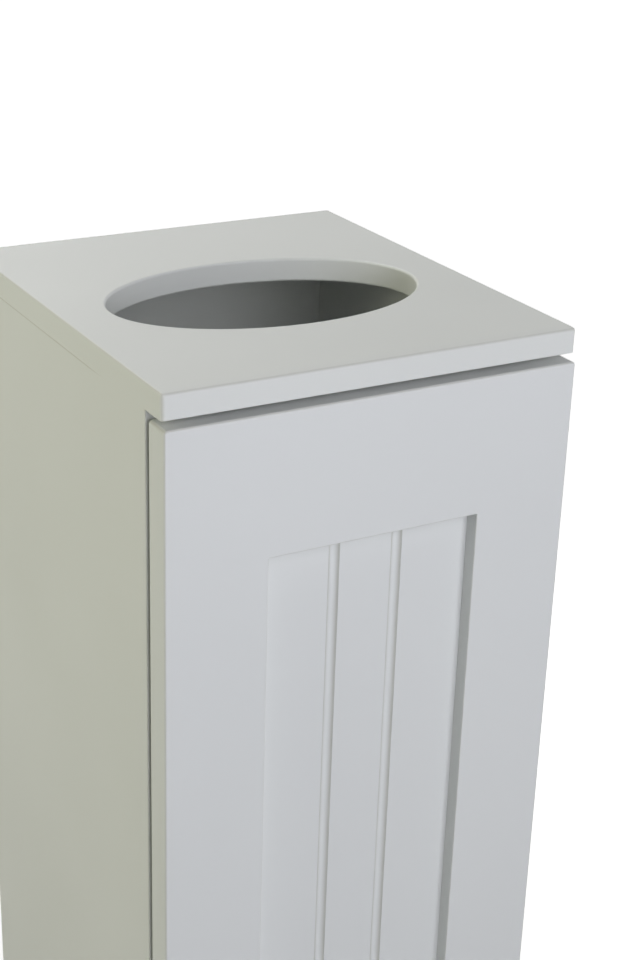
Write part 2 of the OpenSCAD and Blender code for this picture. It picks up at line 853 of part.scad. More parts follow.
// A leaf with its knuckles round the axis: first is 0 for the leaf with the end knuckles, 1 for the other
module hinge_leaf(z, leaf_y, first) {
    step = knuckle_len + knuckle_gap;
    low = z - hinge_len / 2;
    difference() {
        union() {
            board(
                [side_x - leaf_w, leaf_y, low], [side_x, leaf_y + leaf_t, low + hinge_len],
                front = [leaf_corner_r, 0, 0, leaf_corner_r]
            );
            for (i = [first:2:knuckle_count - 1]) {
                foot_z = low + i * step;
                block([side_x - over, leaf_y, foot_z], [axis_x, leaf_y + leaf_t, foot_z + knuckle_len]);
                translate([axis_x, axis_y, foot_z]) cylinder(r = knuckle_r, h = knuckle_len);
            }
        }
        translate([axis_x, axis_y, low - over]) cylinder(d = pin_d + 2 * pin_gap, h = hinge_len + 2 * over);
    }
}

module frame_leaf(z) {
    color([0.76, 0.75, 0.73]) difference() {
        hinge_leaf(z, side_front_y - leaf_t, 0);
        at_frame_screws() flat_screw_hole(hinge_screw_d, hinge_head_d, hinge_screw_len);
    }
}

module door_leaf(z) {
    color([0.76, 0.75, 0.73]) difference() {
        hinge_leaf(z, door_back_y, 1);
        at_door_screws() flat_screw_hole(hinge_screw_d, hinge_head_d, hinge_screw_len);
    }
}

// A pin with a button head that rests on the top knuckle
module hinge_pin(z) {
    head_r = knuckle_r * 0.9;
    color([0.78, 0.77, 0.75]) translate([axis_x, axis_y, z - hinge_len / 2]) rotate_extrude() polygon([
        [0, 0], [pin_d / 2, 0], [pin_d / 2, hinge_len], [head_r, hinge_len],
        [head_r, hinge_len + pin_head_t / 2], [head_r - pin_head_t / 2, hinge_len + pin_head_t],
        [0, hinge_len + pin_head_t]
    ]);
}

module hinge_lower_frame_leaf() { frame_leaf(hinge_zs[0]); }
module hinge_lower_door_leaf() { door_leaf(hinge_zs[0]); }
module hinge_lower_pin() { hinge_pin(hinge_zs[0]); }
module hinge_upper_frame_leaf() { frame_leaf(hinge_zs[1]); }
module hinge_upper_door_leaf() { door_leaf(hinge_zs[1]); }
module hinge_upper_pin() { hinge_pin(hinge_zs[1]); }

module hinge_frame_screws() {
    color([0.78, 0.77, 0.75])
        at_frame_screws() flat_screw(hinge_screw_d, hinge_head_d, hinge_screw_len);
}

module hinge_door_screws() {
    color([0.78, 0.77, 0.75])
        at_door_screws() flat_screw(hinge_screw_d, hinge_head_d, hinge_screw_len);
}

top_board();
left_side();
right_side();
back_panel();
base_board();
plinth();
roll_shelf();
storage_shelf();
shelf_pins();
wood_dowels();
cam_bolts();
cam_locks();
door_left_stile();
door_right_stile();
door_top_rail();
door_bottom_rail();
door_panel();
door_knob();
knob_screw();
door_bumpers();
strike_plate();
strike_screw();
catch_housing();
catch_magnet();
catch_poles();
catch_screws();
hinge_upper_frame_leaf();
hinge_upper_door_leaf();
hinge_upper_pin();
hinge_lower_frame_leaf();
hinge_lower_door_leaf();
hinge_lower_pin();
hinge_frame_screws();
hinge_door_screws();
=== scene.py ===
# %% [markdown]
# # A toilet roll cabinet in lacquered board
#
# A slim bathroom cabinet: three boards and a back, an oval slot in the top, and a framed door with
# a grooved panel. Its construction is a CAD model in real millimetres, which this notebook loads
# and never moves. What is added here is what the eye judges: soft edges, lacquer, turned metal,
# screws with real recesses, and light. Each code cell prints what it made or measured.

# %% Load the CAD model
import json
import math

import bmesh
import bpy
from mathutils import Matrix, Vector


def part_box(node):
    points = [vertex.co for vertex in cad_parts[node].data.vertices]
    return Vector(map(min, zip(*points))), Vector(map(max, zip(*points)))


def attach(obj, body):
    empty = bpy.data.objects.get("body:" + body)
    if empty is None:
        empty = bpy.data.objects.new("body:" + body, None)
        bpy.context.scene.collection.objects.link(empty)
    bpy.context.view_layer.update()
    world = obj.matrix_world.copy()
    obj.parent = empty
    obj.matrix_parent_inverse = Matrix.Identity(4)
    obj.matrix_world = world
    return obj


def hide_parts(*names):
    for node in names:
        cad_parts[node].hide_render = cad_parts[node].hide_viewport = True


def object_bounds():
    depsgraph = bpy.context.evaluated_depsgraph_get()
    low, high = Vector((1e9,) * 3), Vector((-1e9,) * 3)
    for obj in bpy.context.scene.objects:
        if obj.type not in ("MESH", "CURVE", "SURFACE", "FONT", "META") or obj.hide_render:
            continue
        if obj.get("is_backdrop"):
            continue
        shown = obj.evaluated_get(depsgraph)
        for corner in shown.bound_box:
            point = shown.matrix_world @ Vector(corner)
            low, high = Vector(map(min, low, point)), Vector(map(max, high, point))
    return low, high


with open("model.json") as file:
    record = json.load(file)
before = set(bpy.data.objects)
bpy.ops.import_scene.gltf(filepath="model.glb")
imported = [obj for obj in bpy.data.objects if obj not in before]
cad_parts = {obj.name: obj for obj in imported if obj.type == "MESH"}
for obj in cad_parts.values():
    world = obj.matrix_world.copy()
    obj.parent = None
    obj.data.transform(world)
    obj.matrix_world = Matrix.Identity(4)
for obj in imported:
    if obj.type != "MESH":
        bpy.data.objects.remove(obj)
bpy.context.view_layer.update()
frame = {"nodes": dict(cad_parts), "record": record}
MM = 0.001
behaviour = frame["record"]["behaviour"]
BODY_OF = {node: body for body, nodes in behaviour["bodies"].items() for node in nodes}
SLOT_OF = {part["node"]: part["material_slot"] for part in frame["record"]["subparts"]}

# %% [markdown]
# ## The camera
#
# The photograph looks down on the top from the left. A camera can be found from straight edges
# alone: lines that are parallel on the cabinet meet at vanishing points in the picture, and these
# give the focal length and the three angles. Its place follows from the corners of the top board.

# %% Camera
PICTURE_HEIGHT_PX = 960
FOCAL_LENGTH_PX = 1779.4
SENSOR_MM = 36.0
YAW_DEG, PITCH_DEG, ROLL_DEG = 30.258, 23.109, 1.944
CAMERA_FROM_TOP_FRONT_MM = Vector((-333.19, -528.76, 216.85))

top_low, top_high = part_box("top_board")
top_front_middle = Vector((0, top_low.y, top_high.z))


def camera_axes(yaw, pitch, roll):
    """The camera's right, up and forward directions for angles in degrees."""
    yaw, pitch, roll = (math.radians(a) for a in (yaw, pitch, roll))
    forward = Vector((
        math.sin(yaw) * math.cos(pitch), math.cos(yaw) * math.cos(pitch), -math.sin(pitch)))
    right = Vector((math.cos(yaw), -math.sin(yaw), 0))
    up = right.cross(forward)
    tilted_right = right * math.cos(roll) + up * math.sin(roll)
    tilted_up = up * math.cos(roll) - right * math.sin(roll)
    return tilted_right, tilted_up, forward


right, up, forward = camera_axes(YAW_DEG, PITCH_DEG, ROLL_DEG)
camera_data = bpy.data.cameras.new("camera")
camera_data.sensor_width = SENSOR_MM
camera_data.lens = FOCAL_LENGTH_PX * SENSOR_MM / PICTURE_HEIGHT_PX
camera = bpy.data.objects.new("camera", camera_data)
turn = Matrix((right, up, -forward)).transposed().to_4x4()
camera.matrix_world = Matrix.Translation(top_front_middle + CAMERA_FROM_TOP_FRONT_MM * MM) @ turn
bpy.context.scene.collection.objects.link(camera)
bpy.context.scene.camera = camera
print("lens, mm:", round(camera_data.lens, 2))

# %% [markdown]
# ## Helpers for colour and nodes
#
# Paint charts give colours as sRGB hex values, but a shader works with linear light, so one
# function turns the first into the second. Another adds a node with its settings and links, for
# shader trees and geometry trees alike, so that each tree reads as a recipe.

# %% Colour and node helpers
# A Mix node has sockets A and B for each kind of value. These are the places of those for colours.
MIX_A, MIX_B, MIX_RESULT = 6, 7, 2


def linear(hex_colour):
    """An sRGB hex colour as linear red, green, blue and alpha."""
    values = [int(hex_colour[i:i + 2], 16) / 255 for i in (1, 3, 5)]
    return [v / 12.92 if v <= 0.04045 else ((v + 0.055) / 1.055) ** 2.4 for v in values] + [1.0]


def add_node(tree, kind, links=None, values=None, **settings):
    """Adds a node, sets its properties and socket values, and makes the links given by socket."""
    node = tree.nodes.new(kind)
    for name, value in settings.items():
        setattr(node, name, value)
    for name, value in (values or {}).items():
        node.inputs[name].default_value = value
    for name, source in (links or {}).items():
        tree.links.new(source, node.inputs[name])
    return node


def new_material(name, **constants):
    """A material, its tree and its Principled shader, whose sockets take the constants given."""
    material = bpy.data.materials.new(name)
    material.use_nodes = True
    tree = material.node_tree
    tree.nodes.clear()
    shader = add_node(tree, "ShaderNodeBsdfPrincipled")
    for socket, value in constants.items():
        shader.inputs[socket.replace("_", " ")].default_value = value
    add_node(tree, "ShaderNodeOutputMaterial", links={"Surface": shader.outputs["BSDF"]})
    return material, tree, shader


def per_mm(size_mm):
    """The scale at which a texture on coordinates in metres has features of this size."""
    return 1 / (size_mm * MM)


print("the paint chart's #808080 as linear light:", round(linear("#808080")[0], 3))

# %% [markdown]
# ## Satin lacquer
#
# The real boards are fibreboard, sprayed with satin white lacquer. Up close such a film isn't flat:
# the droplets level out into a faint orange peel with waves of a millimetre or so. From a step away
# the coat's thickness drifts, which shows as clouds a hand wide that are a hair lighter or darker,
# and glossier or duller. Outer arrises are drawn towards a brown fibre tint: partly lacquer that
# the spray leaves sparse there and hands rub through, and partly painted shade for the dark bands
# that the light leaves along the arrises. An image texture could hold this, but noise has no seams
# and no resolution, and the darkened arrises follow the mesh: an attribute says how far round an
# arris each corner of a face is.

# %% Satin lacquer
PEEL_MM, PEEL_DEPTH_MM = 1.3, 0.006
CLOUD_MM = 90
DUST_MM, DUST_SHARE = 0.5, 0.5
MOTTLE_LOW, MOTTLE_HIGH = 0.3, 1.2  # what clouds and dust come to together
GLOSSIEST, DULLEST = 0.40, 0.52
ARRIS = "arris"
# The arris tint stands partly for lacquer rubbed through to the fibre and partly for painted shade
# along the arrises.
FIBRE_AND_SHADE_TINT, ARRIS_SHADE_SHARE = "#A9A695", 0.45


def satin_lacquer(name, pale, deep):
    """Sprayed satin lacquer on fibreboard: clouds between two close colours, and orange peel."""
    material, tree, shader = new_material(name, Specular_IOR_Level=0.45)
    place = add_node(tree, "ShaderNodeTexCoord").outputs["Object"]
    cloud = add_node(
        tree, "ShaderNodeTexNoise", links={"Vector": place},
        values={"Scale": per_mm(CLOUD_MM), "Detail": 2.0, "Roughness": 0.4})
    tone = add_node(
        tree, "ShaderNodeMix", data_type="RGBA", links={0: cloud.outputs["Fac"]},
        values={MIX_A: linear(pale), MIX_B: linear(deep)})
    # Painted shade: outer arrises are mixed towards the fibre tint, which also stands for lacquer
    # rubbed through there.
    arris = add_node(tree, "ShaderNodeAttribute", attribute_name=ARRIS)
    arris_shade = add_node(
        tree, "ShaderNodeMath", operation="MULTIPLY", links={0: arris.outputs["Fac"]},
        values={1: ARRIS_SHADE_SHARE})
    shaded_tone = add_node(
        tree, "ShaderNodeMix", data_type="RGBA", values={MIX_B: linear(FIBRE_AND_SHADE_TINT)},
        links={0: arris_shade.outputs[0], MIX_A: tone.outputs[MIX_RESULT]})
    tree.links.new(shaded_tone.outputs[MIX_RESULT], shader.inputs["Base Color"])
    dust = add_node(
        tree, "ShaderNodeTexNoise", links={"Vector": place},
        values={"Scale": per_mm(DUST_MM), "Detail": 1.0})
    mottle = add_node(
        tree, "ShaderNodeMath", operation="MULTIPLY_ADD",
        links={0: dust.outputs["Fac"], 2: cloud.outputs["Fac"]}, values={1: DUST_SHARE})
    gloss = add_node(tree, "ShaderNodeMapRange", links={"Value": mottle.outputs[0]}, values={
        "From Min": MOTTLE_LOW, "From Max": MOTTLE_HIGH, "To Min": GLOSSIEST, "To Max": DULLEST})
    tree.links.new(gloss.outputs["Result"], shader.inputs["Roughness"])
    peel = add_node(
        tree, "ShaderNodeTexNoise", links={"Vector": place},
        values={"Scale": per_mm(PEEL_MM), "Detail": 1.0, "Roughness": 0.3})
    waves = add_node(
        tree, "ShaderNodeBump", links={"Height": peel.outputs["Fac"]},
        values={"Strength": 1.0, "Distance": PEEL_DEPTH_MM * MM})
    tree.links.new(waves.outputs["Normal"], shader.inputs["Normal"])
    return material


cabinet_lacquer = satin_lacquer("satin_white_lacquer_on_boards", "#DCDEDA", "#D8DAD6")
# The door's lacquer is a touch bluer than the boards': painted cool light on the front-facing door.
door_lacquer = satin_lacquer("satin_white_lacquer_on_door", "#DCDEDC", "#D8DAD8")
print("lacquers:", cabinet_lacquer.name, door_lacquer.name)

# %% [markdown]
# ## Metals
#
# Three metals are at work. Knob and hinges are nickel plated steel, brushed to a satin: fine
# parallel scratches stretch the reflections across them. On the turned knob the scratches run round
# its axis. Screws, shelf pins and catch plates are zinc plated: a little blue, with a faint
# cloudiness from the bath. Cam locks are die-cast zinc, grey and matt. A bright plate would mirror
# the softboxes as flat white and hide the screws in it, so hinges and zinc are matt enough to
# spread that light. Brushing of a tenth of a millimetre would be lost at this distance, so it is
# drawn three times as coarse.
#
# In all of them one noise pattern does two jobs or three: it gives the metal its fine relief, it
# shifts the roughness between two values, and in zinc it shifts the tone as well.

# %% Brushed nickel
NOISE_LOW, NOISE_HIGH = 0.3, 0.7  # what nearly all values of a noise texture lie between
RELIEF_MM = 0.01
SCRATCH_MM, SCRATCH_LENGTH_MM = 0.3, 14


def grain(tree, shader, pattern, depth_mm, strength, tones=None, gloss=None):
    """Lets a noise pattern set a relief and, where given, two tones and a range of roughness."""
    relief = add_node(
        tree, "ShaderNodeBump", links={"Height": pattern},
        values={"Strength": strength, "Distance": depth_mm * MM})
    tree.links.new(relief.outputs["Normal"], shader.inputs["Normal"])
    if tones:
        tone = add_node(
            tree, "ShaderNodeMix", data_type="RGBA", links={0: pattern},
            values={MIX_A: linear(tones[0]), MIX_B: linear(tones[1])})
        tree.links.new(tone.outputs[MIX_RESULT], shader.inputs["Base Color"])
    if gloss:
        spread = add_node(tree, "ShaderNodeMapRange", links={"Value": pattern}, values={
            "From Min": NOISE_LOW, "From Max": NOISE_HIGH, "To Min": gloss[0], "To Max": gloss[1]})
        tree.links.new(spread.outputs["Result"], shader.inputs["Roughness"])


def brushed_nickel():
    """Satin nickel plate, brushed upwards: fine scratches, long in height."""
    material, tree, shader = new_material(
        "brushed_nickel_plate", Metallic=1.0, Base_Color=linear("#A9A39A"))
    place = add_node(tree, "ShaderNodeTexCoord").outputs["Object"]
    stretched = add_node(
        tree, "ShaderNodeMapping", links={"Vector": place},
        values={"Scale": (per_mm(SCRATCH_MM), per_mm(SCRATCH_MM), per_mm(SCRATCH_LENGTH_MM))})
    scratches = add_node(
        tree, "ShaderNodeTexNoise", links={"Vector": stretched.outputs["Vector"]},
        values={"Scale": 1.0, "Detail": 2.0})
    grain(tree, shader, scratches.outputs["Fac"], RELIEF_MM, 0.6, gloss=(0.48, 0.62))
    return material


nickel = brushed_nickel()
print("for the hinges:", nickel.name)

# %% Turned nickel
RING_MM = 0.35


def turned_nickel(axis_at):
    """Satin nickel on a turned piece: rings round its axis, which runs along Y through axis_at."""
    material, tree, shader = new_material(
        "turned_satin_nickel", Metallic=1.0, Base_Color=linear("#C6C1B9"))
    place = add_node(tree, "ShaderNodeTexCoord").outputs["Object"]
    centred = add_node(
        tree, "ShaderNodeMapping", links={"Vector": place},
        values={"Location": (-axis_at.x, 0, -axis_at.z)})
    flat = add_node(
        tree, "ShaderNodeVectorMath", operation="MULTIPLY", links={0: centred.outputs["Vector"]},
        values={1: (1, 0, 1)})
    reach = add_node(
        tree, "ShaderNodeVectorMath", operation="LENGTH", links={0: flat.outputs["Vector"]})
    ring = add_node(
        tree, "ShaderNodeMath", operation="MULTIPLY", links={0: reach.outputs["Value"]},
        values={1: per_mm(RING_MM)})
    uneven = add_node(
        tree, "ShaderNodeTexNoise", noise_dimensions="1D", links={"W": ring.outputs[0]},
        values={"Scale": 1.0, "Detail": 2.0})
    grain(tree, shader, uneven.outputs["Fac"], RELIEF_MM, 0.5, gloss=(0.24, 0.38))
    return material


knob_low, knob_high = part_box("door_knob")
knob_nickel = turned_nickel((knob_low + knob_high) / 2)
print("knob axis, mm:", [round(v / MM, 1) for v in (knob_low + knob_high) / 2])

# %% Zinc
def plated_or_cast_zinc(name, tones, cloud_mm, gloss):
    """Zinc: cells of the bath's or the casting's crystals shift its tone and its gloss."""
    material, tree, shader = new_material(name, Metallic=1.0)
    place = add_node(tree, "ShaderNodeTexCoord").outputs["Object"]
    crystals = add_node(
        tree, "ShaderNodeTexNoise", links={"Vector": place},
        values={"Scale": per_mm(cloud_mm), "Detail": 3.0, "Roughness": 0.6})
    grain(tree, shader, crystals.outputs["Fac"], RELIEF_MM, 0.4, tones, gloss)
    return material


plated_zinc = plated_or_cast_zinc("zinc_plated_steel", ("#ACB0B5", "#969A9F"), 0.8, (0.46, 0.60))
cast_zinc = plated_or_cast_zinc("die_cast_zinc", ("#A3A5A8", "#8B8D90"), 0.5, (0.45, 0.62))
print("zinc:", plated_zinc.name, cast_zinc.name)

# %% [markdown]
# ## Plastic, ferrite, rubber and beech
#
# The catch is moulded in white ABS from a mould with a fine spark-eroded grain, and its magnet is
# sintered ferrite, a dark ceramic. The bumpers are clear soft rubber. Dowels are beech, with
# straight fibres along the dowel. The grain has to follow each dowel whichever way it
# points, so it reads an attribute that holds the place in the dowel's own frame.

# %% Plastic, ferrite, rubber and beech
MOULD_GRAIN_MM = 0.35
FIBRE_MM, FIBRE_LENGTH_MM, FIBRE_DEPTH_MM = 0.5, 9, 0.05
OWN_PLACE = "own_place"


def speckled(name, tones, speck_mm, depth_mm, roughness, **constants):
    """A fine-grained solid: specks between two colours that stand out by a depth."""
    material, tree, shader = new_material(name, Roughness=roughness, **constants)
    place = add_node(tree, "ShaderNodeTexCoord").outputs["Object"]
    specks = add_node(
        tree, "ShaderNodeTexNoise", links={"Vector": place},
        values={"Scale": per_mm(speck_mm), "Detail": 2.0, "Roughness": 0.6})
    grain(tree, shader, specks.outputs["Fac"], depth_mm, 1.0, tones)
    return material


def beech():
    """Beech with its fibres along the piece's own Z, as the own_place attribute gives it."""
    material, tree, shader = new_material("beech_wood", Roughness=0.62, Specular_IOR_Level=0.3)
    own = add_node(tree, "ShaderNodeAttribute", attribute_name=OWN_PLACE)
    stretched = add_node(
        tree, "ShaderNodeMapping", links={"Vector": own.outputs["Vector"]},
        values={"Scale": (per_mm(FIBRE_MM), per_mm(FIBRE_MM), per_mm(FIBRE_LENGTH_MM))})
    fibres = add_node(
        tree, "ShaderNodeTexNoise", links={"Vector": stretched.outputs["Vector"]},
        values={"Scale": 1.0, "Detail": 3.0, "Distortion": 0.2})
    grain(tree, shader, fibres.outputs["Fac"], FIBRE_DEPTH_MM, 0.5, ("#D9BB92", "#B08A5C"))
    return material


white_plastic = speckled("moulded_white_abs", ("#E6E6E1", "#DFDFDA"), MOULD_GRAIN_MM, 0.012, 0.42)
ferrite = speckled("sintered_ferrite", ("#2E2E31", "#1F1F22"), 0.6, 0.02, 0.68)
clear_rubber = speckled(
    "clear_soft_rubber", ("#D5D5CF", "#C9C9C3"), 1.5, 0.01, 0.38, Transmission_Weight=0.45)
beech_wood = beech()
print("other materials:", [m.name for m in (white_plastic, ferrite, clear_rubber, beech_wood)])

# %% [markdown]
# ## Objects, meshes and modifiers
#
# A modifier is a recipe, and its result is only there while it is evaluated. Here every recipe is
# run once and its result kept as a plain mesh, so that each piece is finished before the next step.

# %% Object helpers
def add_object(name, mesh):
    """An object for a mesh, linked to the scene."""
    made = bpy.data.objects.new(name, mesh)
    bpy.context.scene.collection.objects.link(made)
    return made


def settle(made):
    """Turns what an object's modifiers make into its own plain mesh, and removes them."""
    graph = bpy.context.evaluated_depsgraph_get()
    mesh = bpy.data.meshes.new_from_object(
        made.evaluated_get(graph), preserve_all_data_layers=True, depsgraph=graph)
    made.modifiers.clear()
    made.data = mesh
    return made


def corners(node):
    """A CAD node's lowest and highest corners, in mm."""
    low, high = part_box(node)
    return low / MM, high / MM


def built(build, mesh):
    """Writes a finished bmesh to a mesh."""
    build.to_mesh(mesh)
    build.free()
    return mesh


def box_mesh(name, low, high):
    """A box from low to high, in mm."""
    build = bmesh.new()
    bmesh.ops.create_cube(build, size=1)
    for vert in build.verts:
        vert.co = Vector([(high if vert.co[i] > 0 else low)[i] * MM for i in range(3)])
    return built(build, bpy.data.meshes.new(name))


def quarter_turn(steps):
    """The angles from 0 to 90 degrees in even steps, in radians."""
    return [math.pi / 2 * i / steps for i in range(steps + 1)]


def combine(piece, other, operation="DIFFERENCE"):
    """Cuts another object out of a piece, or joins it on, and uses the other up."""
    boolean = piece.modifiers.new("combine", "BOOLEAN")
    boolean.operation = operation
    boolean.solver = "EXACT"
    boolean.object = other
    settle(piece)
    bpy.data.objects.remove(other)
    return piece


print("top board, mm:", *[[round(v, 1) for v in corner] for corner in corners("top_board")])

# %% [markdown]
# ## From CAD boards to visible boards
#
# The CAD nodes arrive as triangles that approximate each rounded edge with two or three strips,
# which is enough for a simulation but shows in a highlight. A board is quick to make again: a box
# whose edges carry a bevel weight, so that one Bevel modifier gives every edge its own radius and
# solves the corners where three radii meet. Weighted normals then keep the flats flat right up to
# the curve.

# %% Soft boards
# Each side's axis, and whether it is at that axis's low or high end.
SIDES = {
    "left": (0, 0), "right": (0, 1), "front": (1, 0), "back": (1, 1), "under": (2, 0),
    "top": (2, 1)}
BEVEL_STEPS = 6
SHARP_DEG = 35
TOUCHING_MM = 1e-3


def soft_board(name, low, high, radii):
    """A board from low to high in mm. radii gives each edge's radius, by the edge's two sides."""
    mesh = box_mesh(name, low, high)
    largest = max(radii.values())
    weights = mesh.attributes.new("bevel_weight_edge", "FLOAT", "EDGE")
    for edge in mesh.edges:
        ends = [mesh.vertices[i].co / MM for i in edge.vertices]
        for sides, radius in radii.items():
            walls = [SIDES[side] for side in sides.split()]
            if all(abs(end[axis] - (low, high)[far][axis]) < TOUCHING_MM
                   for end in ends for axis, far in walls):
                weights.data[edge.index].value = radius / largest
    board = add_object(name, mesh)
    bevel = board.modifiers.new("edges", "BEVEL")
    bevel.width = largest * MM
    bevel.segments = BEVEL_STEPS
    bevel.limit_method = "WEIGHT"
    return settle(board)


def smooth(piece):
    """Shades rounded edges smoothly and keeps flats flat and crisp edges crisp."""
    piece.data.shade_smooth()
    piece.data.set_sharp_from_angle(angle=math.radians(SHARP_DEG))
    weighted = piece.modifiers.new("weighted", "WEIGHTED_NORMAL")
    weighted.keep_sharp = True
    return settle(piece)


print(f"edges: {BEVEL_STEPS} steps round, sharp from {SHARP_DEG} degrees")

# %% [markdown]
# ## Darkened arrises, and a piece's finish
#
# The lacquer asks how far round an outer arris a point is. A normal answers that: on a flat its
# largest part is 1, and halfway round a quarter circle it has dropped to the root of a half. Each
# face corner near an outer edge keeps that drop as an attribute. A finished piece then takes its
# material and stands for its CAD node.

# %% Arrises and finish
ARRIS_REACH_MM = 2
HALFWAY_DROP = 1 - math.sqrt(0.5)


def mark_arrises(piece, joined):
    """Marks how far round an outer arris each face corner is: 0 on a flat, 1 halfway."""
    mesh = piece.data
    points = [vert.co for vert in mesh.vertices]
    low, high = ([side(p[i] for p in points) for i in range(3)] for side in (min, max))
    free = [(axis, far) for side, (axis, far) in SIDES.items() if side != joined]
    arris = mesh.attributes.new(ARRIS, "FLOAT", "CORNER")
    for loop, normal in zip(mesh.loops, mesh.corner_normals):
        point = points[loop.vertex_index]
        near = sum(
            abs(point[axis] - (low, high)[far][axis]) < ARRIS_REACH_MM * MM for axis, far in free)
        if near > 1:
            drop = 1 - max(abs(v) for v in normal.vector)
            arris.data[loop.index].value = drop / HALFWAY_DROP


def dress(piece, node, material, joined=None):
    """Gives a piece its finish. From here on it stands for a CAD node and moves with its body."""
    if material in (cabinet_lacquer, door_lacquer):
        mark_arrises(piece, joined)
    piece.data.materials.clear()
    piece.data.materials.append(material)
    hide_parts(node)
    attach(piece, BODY_OF[node])
    print(f"{piece.name}: {len(piece.data.polygons)} faces, {material.name}")


print("material slots to fill:", sorted(set(SLOT_OF.values())))

# %% [markdown]
# ## Places where things repeat
#
# Dowels, screws, pins and holes come in rows, and a row follows from the boards that it joins: 32
# mm in from the front and back edges, with one more halfway between. Each place is a point with a
# direction. A mesh of bare vertices can hold both, the direction as an attribute, and Geometry
# Nodes can then put a copy of anything on each vertex.

# %% Rows of places
ROW_INSET_MM = 32
PLINTH_DOWEL_SHARES = (0.25, 0.75)  # of the plinth's height
RIGHTWARD, UPWARD = Vector((1, 0, 0)), Vector((0, 0, 1))
FRONTWARD, BACKWARD = Vector((0, -1, 0)), Vector((0, 1, 0))

left_low, left_high = corners("left_side")
back_low, _ = corners("back_panel")
base_low, base_high = corners("base_board")
roll_low, roll_high = corners("roll_shelf")
plinth_low, plinth_high = corners("plinth")
pin_low, pin_high = corners("shelf_pins")
front_row = left_low.y + ROW_INSET_MM
back_row = back_low.y - ROW_INSET_MM
middle_row = (front_row + back_row) / 2
board_heights = [(base_low.z + base_high.z) / 2, (roll_low.z + roll_high.z) / 2]
inner_x = left_high.x


def both_sides(places):
    """The same places on the left and on the right."""
    mirrored = [(Vector((-at.x, at.y, at.z)), Vector((-aim.x, aim.y, aim.z))) for at, aim in places]
    return places + mirrored


def places_mesh(name, places):
    """Vertices at places given in mm, with the direction of each as the attribute aim."""
    mesh = bpy.data.meshes.new(name)
    mesh.from_pydata([at * MM for at, _ in places], [], [])
    aims = mesh.attributes.new("aim", "FLOAT_VECTOR", "POINT")
    for value, (_, aim) in zip(aims.data, places):
        value.vector = aim
    return mesh


def in_rows(x, rows, heights, aim):
    """Places at one x, at each height and in each of the rows, that all aim one way."""
    return [(Vector((x, y, z)), aim) for z in heights for y in rows]


side_middle_x = (left_low.x + left_high.x) / 2
plinth_y = (plinth_low.y + plinth_high.y) / 2
plinth_heights = [plinth_high.z * share for share in PLINTH_DOWEL_SHARES]
back_heights = [plinth_high.z / 2, top_high.z / MM / 2, left_high.z - ROW_INSET_MM]
pin_z = (pin_low.z + pin_high.z) / 2
outer_rows = (front_row, back_row)
all_rows = (front_row, middle_row, back_row)
top_dowels = both_sides(in_rows(side_middle_x, all_rows, [left_high.z], UPWARD))
board_dowels = both_sides(in_rows(inner_x, [middle_row], board_heights, RIGHTWARD))
plinth_dowels = both_sides(in_rows(inner_x, [plinth_y], plinth_heights, RIGHTWARD))
back_dowels = both_sides(in_rows(inner_x, [0], back_heights, RIGHTWARD))
cam_places = both_sides(in_rows(inner_x, outer_rows, board_heights, RIGHTWARD))
pin_places = both_sides(in_rows(inner_x, outer_rows, [pin_z], RIGHTWARD))
dowels = top_dowels + board_dowels + plinth_dowels + back_dowels
print(f"{len(dowels)} dowels, {len(cam_places)} cam bolts, {len(pin_places)} shelf pins")

# %% [markdown]
# ## Geometry trees in a script
#
# A geometry tree can be drawn by hand, but one that is built in a script can be read, and run again
# with other values. All trees here start with named inputs, and end in real geometry with its
# finish on, because copies that are only instances are lost when a model is exported.

# %% Trees: start, end and run
def new_tree(name, inputs):
    """A geometry tree whose inputs, besides its geometry, are given here with socket types."""
    tree = bpy.data.node_groups.new(name, "GeometryNodeTree")
    tree.interface.new_socket("Geometry", in_out="INPUT", socket_type="NodeSocketGeometry")
    for label, kind in inputs.items():
        tree.interface.new_socket(label, in_out="INPUT", socket_type=kind)
    tree.interface.new_socket("Geometry", in_out="OUTPUT", socket_type="NodeSocketGeometry")
    return tree, add_node(tree, "NodeGroupInput").outputs


def end_tree(tree, geometry, finish):
    """Ends a tree in real geometry with its finish on."""
    real = add_node(tree, "GeometryNodeRealizeInstances", links={"Geometry": geometry})
    painted = add_node(
        tree, "GeometryNodeSetMaterial",
        links={"Geometry": real.outputs["Geometry"], "Material": finish})
    add_node(tree, "NodeGroupOutput", links={"Geometry": painted.outputs["Geometry"]})


def run_tree(piece, tree, values):
    """Runs a tree on a piece with values for its named inputs, and keeps the mesh it makes."""
    modifier = piece.modifiers.new(tree.name, "NODES")
    modifier.node_group = tree
    for item in tree.interface.items_tree:
        if item.in_out == "INPUT" and item.name in values:
            modifier[item.identifier] = values[item.name]
    return settle(piece)


print("a tree's steps:", new_tree.__name__, end_tree.__name__, run_tree.__name__)

# %% [markdown]
# ## A tree that drills
#
# A shelf pin hole, a dowel hole and a screw hole differ only in width and depth. So one tree drills
# them all: it puts a cylinder on every vertex of a mesh of places, turns it along the place's
# direction, scales it by the place's own bore and depth, and takes them all out of the board at
# once.

# %% Tree: drill
DRILL_SIDES = 48
DRILL_START_MM = 0.5


